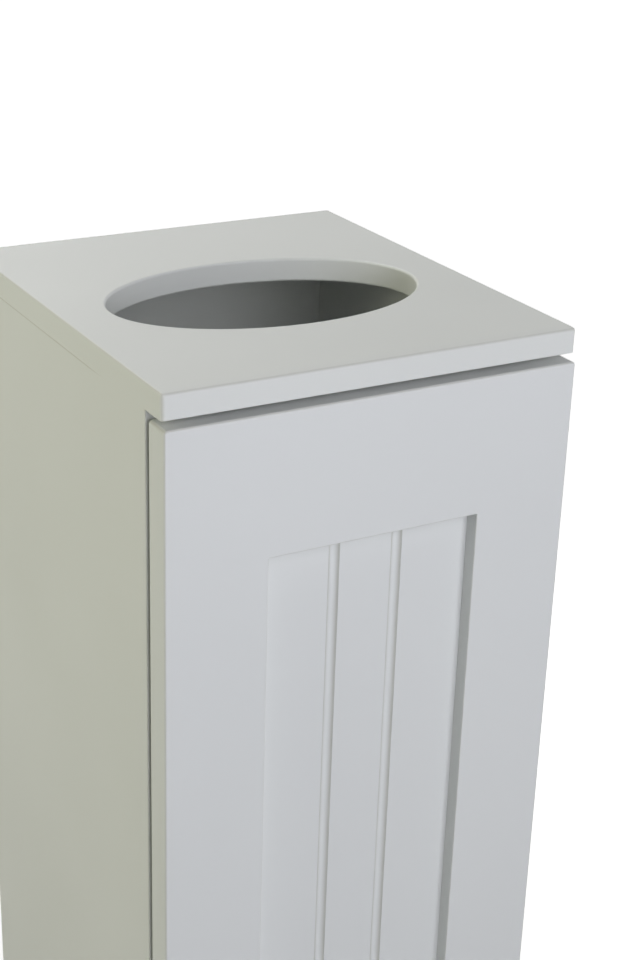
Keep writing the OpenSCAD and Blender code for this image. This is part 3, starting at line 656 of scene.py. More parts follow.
def drill_tree():
    """Drills a hole at each vertex of the object Holes, by its attributes aim, bore and depth."""
    tree, given = new_tree("drill", {
        "Holes": "NodeSocketObject", "Start": "NodeSocketFloat", "Finish": "NodeSocketMaterial"})
    holes = add_node(tree, "GeometryNodeObjectInfo", links={"Object": given["Holes"]})
    depth, bore, aim = (
        add_node(tree, "GeometryNodeInputNamedAttribute", data_type=kind, values={"Name": label})
        for label, kind in (("depth", "FLOAT"), ("bore", "FLOAT"), ("aim", "FLOAT_VECTOR")))
    bit = add_node(
        tree, "GeometryNodeMeshCylinder",
        values={"Vertices": DRILL_SIDES, "Radius": 0.5, "Depth": 1.0})
    low_bit = add_node(
        tree, "GeometryNodeTransform", links={"Geometry": bit.outputs["Mesh"]},
        values={"Translation": (0, 0, -0.5)})
    turned = add_node(
        tree, "FunctionNodeAlignRotationToVector", axis="Z",
        links={"Vector": aim.outputs["Attribute"]})
    length = add_node(
        tree, "ShaderNodeMath", operation="ADD",
        links={0: depth.outputs["Attribute"], 1: given["Start"]})
    size = add_node(
        tree, "ShaderNodeCombineXYZ", links={
            "X": bore.outputs["Attribute"], "Y": bore.outputs["Attribute"], "Z": length.outputs[0]})
    bits = add_node(tree, "GeometryNodeInstanceOnPoints", links={
        "Points": holes.outputs["Geometry"], "Instance": low_bit.outputs["Geometry"],
        "Rotation": turned.outputs["Rotation"], "Scale": size.outputs["Vector"]})
    solid_bits = add_node(
        tree, "GeometryNodeRealizeInstances", links={"Geometry": bits.outputs["Instances"]})
    drilled = add_node(
        tree, "GeometryNodeMeshBoolean", operation="DIFFERENCE", solver="EXACT",
        links={"Mesh 1": given["Geometry"], "Mesh 2": solid_bits.outputs["Geometry"]})
    end_tree(tree, drilled.outputs["Mesh"], given["Finish"])
    return tree


drill = drill_tree()


def holes_at(places, bore, depth, out=None):
    """Holes of one bore and depth at places, along each place's own aim or all along out."""
    return [(at, out or aim, bore, depth) for at, aim in places]


def drilled(piece, holes, finish):
    """Drills a piece. A hole is its mouth, the direction out of it, its bore and its depth."""
    raised = [(mouth + out * DRILL_START_MM, out) for mouth, out, _, _ in holes]
    mesh = places_mesh("holes", raised)
    for label, column in (("bore", 2), ("depth", 3)):
        values = mesh.attributes.new(label, "FLOAT", "POINT")
        for value, hole in zip(values.data, holes):
            value.value = hole[column] * MM
    points = add_object("holes", mesh)
    run_tree(piece, drill, {"Holes": points, "Start": DRILL_START_MM * MM, "Finish": finish})
    bpy.data.objects.remove(points)
    return piece


print("drill's inputs:", [item.name for item in drill.interface.items_tree])

# %% [markdown]
# ## The top board
#
# The eye lands here first. On the real board the oval is routed with a template, and its rim is
# eased with a small round-over, above and below. Sanding softens the outer arris, and near the
# front it has also let the top face and the left face sink by a few tenths of a millimetre. The
# oval could be a curve that is filled and extruded, but its rim would then need a bevel that
# follows a curve. A flared cutter gives wall and rim in one cut: rings of an ellipse that grow by a
# quarter circle towards both faces. For the sanding, the board gets more rows of vertices, which
# then move along a parabola.

# %% Top board
OVAL_MM = (137, 87.5)
OVAL_SETBACK_MM = 92.5
OVAL_SIDES = 160
RIM_MM, RIM_STEPS = 1.2, 6
TOP_EDGE_MM, TOP_CORNER_MM = 1.2, 1.8
SEAM_EDGE_MM = 0.3
SANDED_TOP_MM, SANDED_LEFT_MM = 4.0, 8.0  # how far back from the front edge
SANDED_DEPTH_MM, SANDED_STEPS = 0.3, 5
DOWEL_BORE_MM, DOWEL_DEPTH_MM = 5.1, 7.05
UPRIGHT_SIDES = ("left", "right", "front", "back")


def oval_cutter(middle, low_z, high_z):
    """A plug that fills the oval slot and flares out at both faces by the rim's quarter circle."""
    flare = [
        (RIM_MM * (1 - math.sin(a)), RIM_MM * (1 - math.cos(a))) for a in quarter_turn(RIM_STEPS)]
    levels = [(RIM_MM, low_z - RIM_MM)]
    levels += [(grown, low_z + rise) for grown, rise in flare]
    levels += [(grown, high_z - rise) for grown, rise in reversed(flare)]
    levels += [(RIM_MM, high_z + RIM_MM)]
    build = bmesh.new()
    rings = []
    for grown, z in levels:
        ring = []
        for k in range(OVAL_SIDES):
            angle = 2 * math.pi * k / OVAL_SIDES
            x = (OVAL_MM[0] / 2 + grown) * math.cos(angle)
            y = (OVAL_MM[1] / 2 + grown) * math.sin(angle)
            ring.append(build.verts.new((middle + Vector((x, y, z))) * MM))
        rings.append(ring)
    for below, above in zip(rings, rings[1:]):
        for k in range(OVAL_SIDES):
            n = (k + 1) % OVAL_SIDES
            build.faces.new((below[k], below[n], above[n], above[k]))
    build.faces.new(rings[0][::-1])
    build.faces.new(rings[-1])
    return add_object("oval_cutter", built(build, bpy.data.meshes.new("oval_cutter")))


def sink(behind, length):
    """How deep a face has sunk at a distance behind the front edge: a parabola over the length."""
    return SANDED_DEPTH_MM * max(0, 1 - behind / length) ** 2 * MM


def sand_front(board, low, high):
    """Lets the top face and the left face sink towards the front edge, as sandpaper leaves them."""
    middle_z = (low.z + high.z) / 2 * MM
    build = bmesh.new()
    build.from_mesh(board.data)
    for length in (SANDED_TOP_MM, SANDED_LEFT_MM):
        for step in range(1, SANDED_STEPS + 1):
            bmesh.ops.bisect_plane(
                build, geom=build.verts[:] + build.edges[:] + build.faces[:],
                plane_co=(0, (low.y + length * step / SANDED_STEPS) * MM, 0), plane_no=(0, 1, 0))
    for vert in build.verts:
        behind = vert.co.y / MM - low.y
        if vert.co.z > middle_z:
            vert.co.z -= sink(behind, SANDED_TOP_MM)
        if vert.co.x < 0:
            vert.co.x += sink(behind, SANDED_LEFT_MM)
    built(build, board.data)


board_low, board_high = corners("top_board")
top_radii = {f"{side} top": TOP_EDGE_MM for side in UPRIGHT_SIDES}
top_radii |= {f"{side} under": SEAM_EDGE_MM for side in UPRIGHT_SIDES}
top_radii |= {
    "left front": TOP_CORNER_MM, "right front": TOP_EDGE_MM,
    "left back": TOP_EDGE_MM, "right back": TOP_EDGE_MM}
top_board = soft_board("top_board_dressed", board_low, board_high, top_radii)
sand_front(top_board, board_low, board_high)
oval_middle = Vector((0, board_low.y + OVAL_SETBACK_MM, 0))
combine(top_board, oval_cutter(oval_middle, board_low.z, board_high.z))
top_holes = holes_at(top_dowels, DOWEL_BORE_MM, DOWEL_DEPTH_MM, -UPWARD)
drilled(top_board, top_holes, cabinet_lacquer)
dress(smooth(top_board), "top_board", cabinet_lacquer, joined="under")

# %% [markdown]
# ## The side panels
#
# Both sides are the same board, mirrored: long edges eased, three rows of shelf pin holes inside,
# and behind the joints the holes for dowels and cam bolts. The left side also takes the catch's
# screws, and the right side the hinges'.

# %% Side panels
SIDE_EDGE_MM = 0.6
PIN_BORE_MM, PIN_DEPTH_MM, PIN_PITCH_MM = 5.1, 7.5, 32
SCREW_DEPTH_MM = 8
catch_low, catch_high = corners("catch_screws")
hinge_pin_boxes = [corners("hinge_lower_pin"), corners("hinge_upper_pin")]
HINGE_LENGTH_MM, HINGE_SCREW_INSET_MM = 40, 9


def side_panel(node, fittings):
    """A side panel with every hole that the other pieces need in it, those of its fittings last."""
    low, high = corners(node)
    outer, inner = ("left", "right") if low.x < 0 else ("right", "left")
    radii = {f"{side} {end}": SIDE_EDGE_MM for side in (outer, inner) for end in ("front", "back")}
    board = soft_board(node + "_dressed", low, high, radii | {outer + " top": SEAM_EDGE_MM})
    wall = inner_x if low.x < 0 else -inner_x
    out = RIGHTWARD if low.x < 0 else -RIGHTWARD
    pin_rows = [pin_z + step * PIN_PITCH_MM for step in (-1, 0, 1)]
    joints = board_dowels + plinth_dowels + back_dowels + cam_places
    holes = holes_at(in_rows(wall, outer_rows, pin_rows, out), PIN_BORE_MM, PIN_DEPTH_MM)
    for places, aim in ((joints, out), (top_dowels, UPWARD)):
        own = [place for place in places if place[0].x * wall > 0]
        holes += holes_at(own, DOWEL_BORE_MM, DOWEL_DEPTH_MM, aim)
    drilled(board, holes + fittings, cabinet_lacquer)
    dress(smooth(board), node, cabinet_lacquer, joined="top")


catch_y = (catch_low.y + catch_high.y) / 2
SCREW_HEAD_MM, CATCH_SCREW_MM = 5.6, 2.8
catch_screw_heights = [catch_low.z + SCREW_HEAD_MM / 2, catch_high.z - SCREW_HEAD_MM / 2]
catch_places = in_rows(inner_x, [catch_y], catch_screw_heights, RIGHTWARD)
side_panel("left_side", holes_at(catch_places, CATCH_SCREW_MM, SCREW_DEPTH_MM))

HINGE_SCREW_MM = 2.4
frame_screw_low, frame_screw_high = corners("hinge_frame_screws")
hinge_screw_x = (frame_screw_low.x + frame_screw_high.x) / 2
hinge_middles = [low.z + HINGE_LENGTH_MM / 2 for low, _ in hinge_pin_boxes]
from_middle = HINGE_LENGTH_MM / 2 - HINGE_SCREW_INSET_MM
hinge_screw_heights = [z + step * from_middle for z in hinge_middles for step in (-1, 1)]


def hinge_places(y, aim):
    """The places of one leaf's screws in both hinges, on a face at y."""
    return in_rows(hinge_screw_x, [y], hinge_screw_heights, aim)


side_panel("right_side", holes_at(
    hinge_places(left_low.y, FRONTWARD), HINGE_SCREW_MM, SCREW_DEPTH_MM))

# %% [markdown]
# ## The painted seam
#
# Where the top sits on the sides, the maker fills the joint and sprays over it. What remains is a
# faint raised line of lacquer, lighter above and darker below, that the sandpaper has levelled near
# the front. It follows a path, so it is a curve with a flat oval swept along it: it stands a tenth
# of a millimetre proud at the rear and sinks flush towards the front. Where it stands proud, its
# underside takes the full arris tint as painted shade.

# %% Seam bead
BEAD_TALL_MM, BEAD_THICK_MM, BEAD_PROUD_MM = 1.7, 0.4, 0.14
BEAD_FADES_MM = (50, 65)  # behind the top's front edge
BEAD_SIDES = 24


def bead_tree():
    """Sweeps an oval of the given height and thickness along the edges of the base mesh."""
    tree, given = new_tree("seam_bead", {
        "Height": "NodeSocketFloat", "Thickness": "NodeSocketFloat",
        "Finish": "NodeSocketMaterial"})
    path = add_node(tree, "GeometryNodeMeshToCurve", links={"Mesh": given["Geometry"]})
    circle = add_node(
        tree, "GeometryNodeCurvePrimitiveCircle", values={"Resolution": BEAD_SIDES, "Radius": 0.5})
    size = add_node(
        tree, "ShaderNodeCombineXYZ", links={"X": given["Thickness"], "Y": given["Height"]})
    oval = add_node(
        tree, "GeometryNodeTransform",
        links={"Geometry": circle.outputs["Curve"], "Scale": size.outputs["Vector"]})
    swept = add_node(
        tree, "GeometryNodeCurveToMesh",
        links={"Curve": path.outputs["Curve"], "Profile Curve": oval.outputs["Geometry"]},
        values={"Fill Caps": True})
    end_tree(tree, swept.outputs["Mesh"], given["Finish"])
    return tree


flush_x = left_low.x + BEAD_THICK_MM / 2
proud_x = flush_x - BEAD_PROUD_MM
fade_start, fade_end = (board_low.y + behind for behind in BEAD_FADES_MM)
bead_route = [
    (flush_x, left_low.y + SIDE_EDGE_MM), (flush_x, fade_start), (proud_x, fade_end),
    (proud_x, left_high.y - SIDE_EDGE_MM)]
bead_points = [Vector((side * x, y, left_high.z)) * MM for side in (1, -1) for x, y in bead_route]
bead_edges = [
    (first + i, first + i + 1)
    for first in (0, len(bead_route)) for i in range(len(bead_route) - 1)]
bead_path = bpy.data.meshes.new("seam_bead")
bead_path.from_pydata(bead_points, bead_edges, [])
seam_bead = run_tree(add_object("seam_bead", bead_path), bead_tree(), {
    "Height": BEAD_TALL_MM * MM, "Thickness": BEAD_THICK_MM * MM, "Finish": cabinet_lacquer})
seam_bead.data.shade_smooth()
# Painted shade: the underside of the proud part of the bead takes the full arris tint.
underside_shade = seam_bead.data.attributes.new(ARRIS, "FLOAT", "CORNER")
for loop, normal in zip(seam_bead.data.loops, seam_bead.data.corner_normals):
    standing = seam_bead.data.vertices[loop.vertex_index].co.y > fade_start * MM
    underside_shade.data[loop.index].value = 1 if normal.vector.z < 0 and standing else 0
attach(seam_bead, "carcass")
print("seam bead reaches, mm:", round(max(v.co.x for v in seam_bead.data.vertices) / MM, 2))

# %% [markdown]
# ## The door's frame
#
# Two stiles run the full height and two rails join them with tenons. A rebate behind the opening
# holds the panel, and the opening's front edges are eased between the rails. Each of the four is a
# board again, with boxes cut out for rebate and mortises and boxes joined on for tenons.

# %% Door frame: what is cut out and joined on
LIP_MM, LIP_STEPS = 0.5, 5
PANEL_GAP_MM = 0.2
TENON_MM, TENON_LENGTH_MM, TENON_SHOULDER_MM = 5, 16, 4
PAST_MM = 1  # how far a cutter reaches beyond what it cuts

stile_low, stile_high = corners("door_left_stile")
panel_low, panel_high = corners("door_panel")
top_rail_low, top_rail_high = corners("door_top_rail")
bottom_rail_low, bottom_rail_high = corners("door_bottom_rail")
opening_x = -stile_high.x
tenon_y = (stile_low.y + stile_high.y) / 2


def rebate_box():
    """What the panel's rebate takes out of all four pieces of the frame."""
    gap = Vector((PANEL_GAP_MM, 0, PANEL_GAP_MM))
    low, high = panel_low - gap, panel_high + gap
    return add_object("rebate", box_mesh("rebate", low, high + PAST_MM * BACKWARD))


def tenon_box(rail_low, rail_high, gap=0.0):
    """A rail's tenons as one bar behind the opening; with a gap, the mortises that take them."""
    lap = panel_high.z - top_rail_low.z + TENON_SHOULDER_MM
    reach, half = opening_x + TENON_LENGTH_MM + gap, TENON_MM / 2
    low = Vector((-reach, tenon_y - half - gap, rail_low + lap - gap))
    high = Vector((reach, tenon_y + half + gap, rail_high - lap + gap))
    return add_object("tenon", box_mesh("tenon", low, high))


def lip_cutter(side):
    """What eases a stile's inner front edge, from the bottom rail up to the top rail."""
    corner = Vector((side * opening_x, stile_low.y, 0))
    outline = [
        corner + Vector((side * LIP_MM * (1 - math.sin(a)), LIP_MM * (1 - math.cos(a)), 0))
        for a in quarter_turn(LIP_STEPS)]
    inward = Vector((-side, 0, 0))
    outline += [outline[-1] + inward, corner + inward + FRONTWARD, outline[0] + FRONTWARD]
    build = bmesh.new()
    foot = [build.verts.new((p + UPWARD * bottom_rail_high.z) * MM) for p in outline]
    face = build.faces.new(foot)
    grown = bmesh.ops.extrude_face_region(build, geom=[face])
    raised = [v for v in grown["geom"] if isinstance(v, bmesh.types.BMVert)]
    height = top_rail_low.z - bottom_rail_high.z
    bmesh.ops.translate(build, verts=raised, vec=UPWARD * height * MM)
    bmesh.ops.recalc_face_normals(build, faces=build.faces)
    return add_object("lip", built(build, bpy.data.meshes.new("lip")))


opening_size = (2 * opening_x, top_rail_low.z - bottom_rail_high.z)
print("door's opening, mm:", [round(v, 1) for v in opening_size])

# %% Door frame: stiles and rails
DOOR_EDGE_MM, DOOR_CORNER_MM = 1.0, 1.8
TENON_GAP_MM = 0.1
KNOB_BORE_MM = 4.1


def stile(node, side):
    """A stile: outer edges eased, rebate and mortises cut, lip eased between the rails."""
    low, high = corners(node)
    outer = "left" if side < 0 else "right"
    edges = (
        "front top", "back top", "front under", "back under", outer + " front", outer + " back")
    radii = {edge: DOOR_EDGE_MM for edge in edges}
    radii.update({outer + " top": DOOR_CORNER_MM, outer + " under": DOOR_CORNER_MM})
    piece = soft_board(node + "_dressed", low, high, radii)
    combine(piece, rebate_box())
    for rail_low, rail_high in ((bottom_rail_low, bottom_rail_high), (top_rail_low, top_rail_high)):
        combine(piece, tenon_box(rail_low.z, rail_high.z, TENON_GAP_MM))
    return combine(piece, lip_cutter(side))


def rail(node, outer, inner):
    """A rail between the stiles with its tenons; outer and inner name its long edges."""
    low, high = corners(node)
    low.x, high.x = -opening_x, opening_x
    piece = soft_board(node + "_dressed", low, high, {
        "front " + outer: DOOR_EDGE_MM, "back " + outer: DOOR_EDGE_MM, "front " + inner: LIP_MM})
    combine(piece, rebate_box())
    return combine(piece, tenon_box(low.z, high.z), "UNION")


strike_low, strike_high = corners("strike_screw")
strike_mouth = Vector((
    (strike_low.x + strike_high.x) / 2, stile_high.y, (strike_low.z + strike_high.z) / 2))
knob_foot = Vector((
    (knob_low.x + knob_high.x) / 2, knob_high.y, (knob_low.z + knob_high.z) / 2)) / MM
left_stile = stile("door_left_stile", -1)
drilled(left_stile, [
    (knob_foot, FRONTWARD, KNOB_BORE_MM, stile_high.y - stile_low.y + PAST_MM),
    (strike_mouth, BACKWARD, CATCH_SCREW_MM, SCREW_DEPTH_MM)], door_lacquer)
dress(smooth(left_stile), "door_left_stile", door_lacquer)

right_stile = stile("door_right_stile", 1)
stile_holes = holes_at(hinge_places(stile_high.y, BACKWARD), HINGE_SCREW_MM, SCREW_DEPTH_MM)
drilled(right_stile, stile_holes, door_lacquer)
dress(smooth(right_stile), "door_right_stile", door_lacquer)
dress(smooth(rail("door_top_rail", "top", "under")), "door_top_rail", door_lacquer)
dress(smooth(rail("door_bottom_rail", "under", "top")), "door_bottom_rail", door_lacquer)

# %% [markdown]
# ## The grooved panel
#
# The panel imitates planks: a round-nosed cutter runs a shallow cove down it at every plank's edge.
# Groove after groove at one pitch is a rule, so a geometry tree cuts them: a line of points, a long
# cylinder on each, and one boolean. The cutter's radius follows from a groove's width and depth.

# %% Grooved panel
GROOVE_COUNT = 2
GROOVE_PITCH_MM, GROOVE_OFFSET_MM = 28.3, 0.5
GROOVE_WIDTH_MM, GROOVE_DEPTH_MM = 5, 1.3
GROOVE_SIDES = 192


def groove_tree():
    """Cuts a row of upright grooves: Count cylinders of Radius from First on, a Step apart."""
    tree, given = new_tree("grooves", {
        "Count": "NodeSocketInt", "First": "NodeSocketVector", "Step": "NodeSocketVector",
        "Radius": "NodeSocketFloat", "Length": "NodeSocketFloat", "Finish": "NodeSocketMaterial"})
    row = add_node(tree, "GeometryNodeMeshLine", mode="OFFSET", links={
        "Count": given["Count"], "Start Location": given["First"], "Offset": given["Step"]})
    cutter = add_node(
        tree, "GeometryNodeMeshCylinder", values={"Vertices": GROOVE_SIDES},
        links={"Radius": given["Radius"], "Depth": given["Length"]})
    cutters = add_node(
        tree, "GeometryNodeInstanceOnPoints",
        links={"Points": row.outputs["Mesh"], "Instance": cutter.outputs["Mesh"]})
    solid = add_node(
        tree, "GeometryNodeRealizeInstances", links={"Geometry": cutters.outputs["Instances"]})
    grooved = add_node(
        tree, "GeometryNodeMeshBoolean", operation="DIFFERENCE", solver="EXACT",
        links={"Mesh 1": given["Geometry"], "Mesh 2": solid.outputs["Geometry"]})
    end_tree(tree, grooved.outputs["Mesh"], given["Finish"])
    return tree


groove_r = ((GROOVE_WIDTH_MM / 2) ** 2 + GROOVE_DEPTH_MM ** 2) / (2 * GROOVE_DEPTH_MM)
first_groove = Vector((
    -(GROOVE_COUNT - 1) / 2 * GROOVE_PITCH_MM - GROOVE_OFFSET_MM,
    panel_low.y + GROOVE_DEPTH_MM - groove_r, (panel_low.z + panel_high.z) / 2))
panel = add_object("door_panel_dressed", box_mesh("door_panel_dressed", panel_low, panel_high))
run_tree(panel, groove_tree(), {
    "Count": GROOVE_COUNT, "First": first_groove * MM, "Step": RIGHTWARD * GROOVE_PITCH_MM * MM,
    "Radius": groove_r * MM, "Length": (panel_high.z - panel_low.z + 2 * PAST_MM) * MM,
    "Finish": door_lacquer})
dress(smooth(panel), "door_panel", door_lacquer)

# %% [markdown]
# ## Turned parts and copies of them
#
# Dowels, pins, bolts, screws and the knob are all turned: an outline goes round an axis. A screw
# modifier could spin the outline, but in Geometry Nodes a straight path with a circle swept along
# it, scaled at each point by that point's reach from the axis, gives the same shape and closes its
# ends. A second tree puts copies of a finished part on its places and turns them to their
# directions.

# %% Trees: lathe and copies
LATHE_SIDES = 40
HAIR_MM = 0.01  # the smallest step between two heights of an outline
MERGE_MM = 0.001
SOFT_STEPS = 4  # in a quarter circle of an outline


def lathe_tree():
    """Turns a path into a solid whose radius at each point of the path is the attribute reach."""
    tree, given = new_tree("lathe", {
        "Sides": "NodeSocketInt", "Flute": "NodeSocketFloat", "Finish": "NodeSocketMaterial"})
    path = add_node(tree, "GeometryNodeMeshToCurve", links={"Mesh": given["Geometry"]})
    reach = add_node(
        tree, "GeometryNodeInputNamedAttribute", data_type="FLOAT", values={"Name": "reach"})
    ring = add_node(
        tree, "GeometryNodeCurveStar", values={"Outer Radius": 1.0},
        links={"Points": given["Sides"], "Inner Radius": given["Flute"]})
    turned_solid = add_node(
        tree, "GeometryNodeCurveToMesh", values={"Fill Caps": True},
        links={"Curve": path.outputs["Curve"], "Profile Curve": ring.outputs["Curve"],
               "Scale": reach.outputs["Attribute"]})
    place = add_node(tree, "GeometryNodeInputPosition")
    marked = add_node(
        tree, "GeometryNodeStoreNamedAttribute", data_type="FLOAT_VECTOR", domain="POINT",
        links={"Geometry": turned_solid.outputs["Mesh"], "Value": place.outputs["Position"]},
        values={"Name": OWN_PLACE})
    end_tree(tree, marked.outputs["Geometry"], given["Finish"])
    return tree


def copies_tree():
    """Puts a copy of the object Part at each place, its Z along the place's aim."""
    tree, given = new_tree("copies", {"Part": "NodeSocketObject", "Finish": "NodeSocketMaterial"})
    part = add_node(tree, "GeometryNodeObjectInfo", links={"Object": given["Part"]})
    aim = add_node(
        tree, "GeometryNodeInputNamedAttribute", data_type="FLOAT_VECTOR", values={"Name": "aim"})
    towards = add_node(
        tree, "FunctionNodeAlignRotationToVector", axis="Z",
        links={"Vector": aim.outputs["Attribute"]})
    copies = add_node(tree, "GeometryNodeInstanceOnPoints", links={
        "Points": given["Geometry"], "Instance": part.outputs["Geometry"],
        "Rotation": towards.outputs["Rotation"]})
    end_tree(tree, copies.outputs["Instances"], given["Finish"])
    return tree


lathe, copies = lathe_tree(), copies_tree()


def turned(name, outline, finish, flute=1.0):
    """A part turned round Z. The outline's points are a reach from the axis and a height, in mm."""
    mesh = bpy.data.meshes.new(name)
    heights = [Vector((0, 0, height)) * MM for _, height in outline]
    mesh.from_pydata(heights, [(i, i + 1) for i in range(len(outline) - 1)], [])
    reaches = mesh.attributes.new("reach", "FLOAT", "POINT")
    for value, (reach, _) in zip(reaches.data, outline):
        value.value = reach * MM
    part = run_tree(
        add_object(name, mesh), lathe, {"Sides": LATHE_SIDES, "Flute": flute, "Finish": finish})
    build = bmesh.new()
    build.from_mesh(part.data)
    bmesh.ops.remove_doubles(build, verts=build.verts, dist=MERGE_MM * MM)
    bmesh.ops.recalc_face_normals(build, faces=build.faces)
    built(build, part.data)
    return part


def put(node, part, places, finish):
    """Puts copies of a part at places, uses the part up, and dresses a CAD node with them."""
    group = add_object(node + "_dressed", places_mesh(node, places))
    run_tree(group, copies, {"Part": part, "Finish": finish})
    bpy.data.objects.remove(part)
    dress(smooth(group), node, finish)


def quarter(reach, height, radius, start_deg):
    """A quarter circle of outline points round a centre, from start_deg anticlockwise."""
    angles = [math.radians(start_deg + 90 * i / SOFT_STEPS) for i in range(SOFT_STEPS + 1)]
    return [(reach + radius * math.cos(a), height + radius * math.sin(a)) for a in angles]


print("lathe and copies:", len(lathe.nodes), "and", len(copies.nodes), "nodes")

# %% [markdown]
# ## Dowels, shelf pins and cam bolts
#
# A dowel is fluted so that glue and air can escape, and its ends are chamfered to find the hole. A
# shelf pin is plain plated steel with rounded ends. A cam bolt has a coarse thread for the side
# panel, a shank, and a mushroom head that the cam lock grips. Its thread shows only on the bench,
# so it is cut as rings.

# %% Dowels and shelf pins
DOWEL_R_MM, DOWEL_HALF_MM, DOWEL_BEVEL_MM, DOWEL_FLUTE = 2.5, 7, 0.5, 0.93
dowel = turned("dowel", [
    (DOWEL_R_MM - DOWEL_BEVEL_MM, -DOWEL_HALF_MM), (DOWEL_R_MM, DOWEL_BEVEL_MM - DOWEL_HALF_MM),
    (DOWEL_R_MM, DOWEL_HALF_MM - DOWEL_BEVEL_MM), (DOWEL_R_MM - DOWEL_BEVEL_MM, DOWEL_HALF_MM)],
    beech_wood, DOWEL_FLUTE)
put("wood_dowels", dowel, dowels, beech_wood)

PIN_R_MM, PIN_END_MM, PIN_REACH_MM = 2.5, 0.5, 8
pin_start = PIN_END_MM - PIN_DEPTH_MM
pin_outline = quarter(PIN_R_MM - PIN_END_MM, pin_start, PIN_END_MM, -90)
pin_outline += quarter(PIN_R_MM - PIN_END_MM, PIN_REACH_MM - PIN_END_MM, PIN_END_MM, 0)
put("shelf_pins", turned("pin", pin_outline, plated_zinc), pin_places, plated_zinc)

# %% Cam bolts
THREAD_R_MM, THREAD_LENGTH_MM, THREAD_PITCH_MM, THREAD_DEPTH_MM = 2.5, 7, 1.4, 0.45
CREST_START, CREST_END = 0.4, 0.6  # of a thread's pitch
SHANK_R_MM, WAIST_R_MM, HEAD_R_MM = 2.0, 1.5, 2.8
BOLT_END_MM = 21.4
# The bolt beyond its thread: a radius, and its place below the bolt's end in radii of the head.
BOLT_HEAD = (
    (SHANK_R_MM, 2), (WAIST_R_MM, 1.7), (WAIST_R_MM, 1), (HEAD_R_MM, 0.8), (HEAD_R_MM, 0.3),
    (HEAD_R_MM * 2 / 3, 0))


def thread(radius, start, length, pitch, depth):
    """Outline points of a thread, cut as rings."""
    points = []
    for ring in range(int(length / pitch)):
        foot = start + ring * pitch
        points += [
            (radius - depth, foot), (radius, foot + pitch * CREST_START),
            (radius, foot + pitch * CREST_END)]
    return points


bolt_outline = thread(
    THREAD_R_MM, -THREAD_LENGTH_MM, THREAD_LENGTH_MM, THREAD_PITCH_MM, THREAD_DEPTH_MM)
bolt_outline += [(THREAD_R_MM, -HAIR_MM), (SHANK_R_MM, 0)]
bolt_outline += [(radius, BOLT_END_MM - below * HEAD_R_MM) for radius, below in BOLT_HEAD]
bolt = turned("bolt", bolt_outline, plated_zinc)
put("cam_bolts", bolt, cam_places, plated_zinc)

# %% [markdown]
# ## Screws
#
# All screws that show have a cross recess. It is pressed into the head by a pointed tool, so it
# narrows with depth: each arm of the cross is a box whose lower end is drawn in, cut out of the
# head.

# %% Screws and their recesses
RECESS_SPAN, RECESS_ARM, RECESS_TAPER = 0.62, 0.16, 0.4  # the first two are shares of the head
SCREW_PITCH, SCREW_TIP = 0.4, 0.8  # of the diameter
SCREW_POINT, SCREW_THREAD = 0.1, 0.25  # of the radius
HEAD_RIM_MM = 0.1


def cross_recess(screw, head_d):
    """Presses a cross into a screw's head, whose face is at the origin."""
    span, arm = head_d * RECESS_SPAN, head_d * RECESS_ARM
    for size in (Vector((span, arm, 0)), Vector((arm, span, 0))):
        low, high = -size / 2, size / 2
        low.z, high.z = -span / 2, PAST_MM
        mesh = box_mesh("recess", low, high)
        for vert in mesh.vertices:
            if vert.co.z < 0:
                vert.co.x *= RECESS_TAPER
                vert.co.y *= RECESS_TAPER
        combine(screw, add_object("recess", mesh))
    return screw


def countersunk(diameter, head_d, length):
    """A countersunk screw with its head's face at the origin and its point along -Z."""
    radius, head = diameter / 2, (head_d - diameter) / 2
    pitch, tip = diameter * SCREW_PITCH, diameter * SCREW_TIP
    threaded = length - tip - head - pitch
    outline = [(radius * SCREW_POINT, -length)]
    outline += thread(radius, tip - length, threaded, pitch, radius * SCREW_THREAD)
    outline += [(radius, -head - pitch / 2), (radius, -head)]
    outline += [(head_d / 2, -HEAD_RIM_MM), (head_d / 2, 0)]
    return cross_recess(turned("screw", outline, plated_zinc), head_d)


print("recess of the catch's screws, mm:", round(SCREW_HEAD_MM * RECESS_SPAN, 2))

# %% Screws in place
SCREW_LENGTH_MM = 9
HINGE_HEAD_MM, STRIKE_HEAD_MM = 4.0, 4.8
_, door_screw_high = corners("hinge_door_screws")
strike_face = Vector((strike_mouth.x, strike_high.y, strike_mouth.z))
catch_faces = in_rows(catch_high.x, [catch_y], catch_screw_heights, RIGHTWARD)
for node, diameter, head_d, places in (
        ("hinge_frame_screws", HINGE_SCREW_MM, HINGE_HEAD_MM,
         hinge_places(frame_screw_low.y, FRONTWARD)),
        ("hinge_door_screws", HINGE_SCREW_MM, HINGE_HEAD_MM,
         hinge_places(door_screw_high.y, BACKWARD)),
        ("catch_screws", CATCH_SCREW_MM, SCREW_HEAD_MM, catch_faces),
        ("strike_screw", CATCH_SCREW_MM, STRIKE_HEAD_MM, [(strike_face, BACKWARD)])):
    put(node, countersunk(diameter, head_d, SCREW_LENGTH_MM), places, plated_zinc)

# %% Knob's screw
KNOB_SCREW_R_MM, KNOB_SCREW_HEAD_R_MM, KNOB_SCREW_HEAD_MM, KNOB_SCREW_SOFT_MM = 2.0, 3.8, 2.0, 0.8
END_CHAMFER = 0.3  # of the radius, on a rod's cut end


def cut_end(radius, end):
    """The first two outline points of a rod whose cut end is chamfered."""
    return [(radius * (1 - END_CHAMFER), end), (radius, end + radius * END_CHAMFER)]


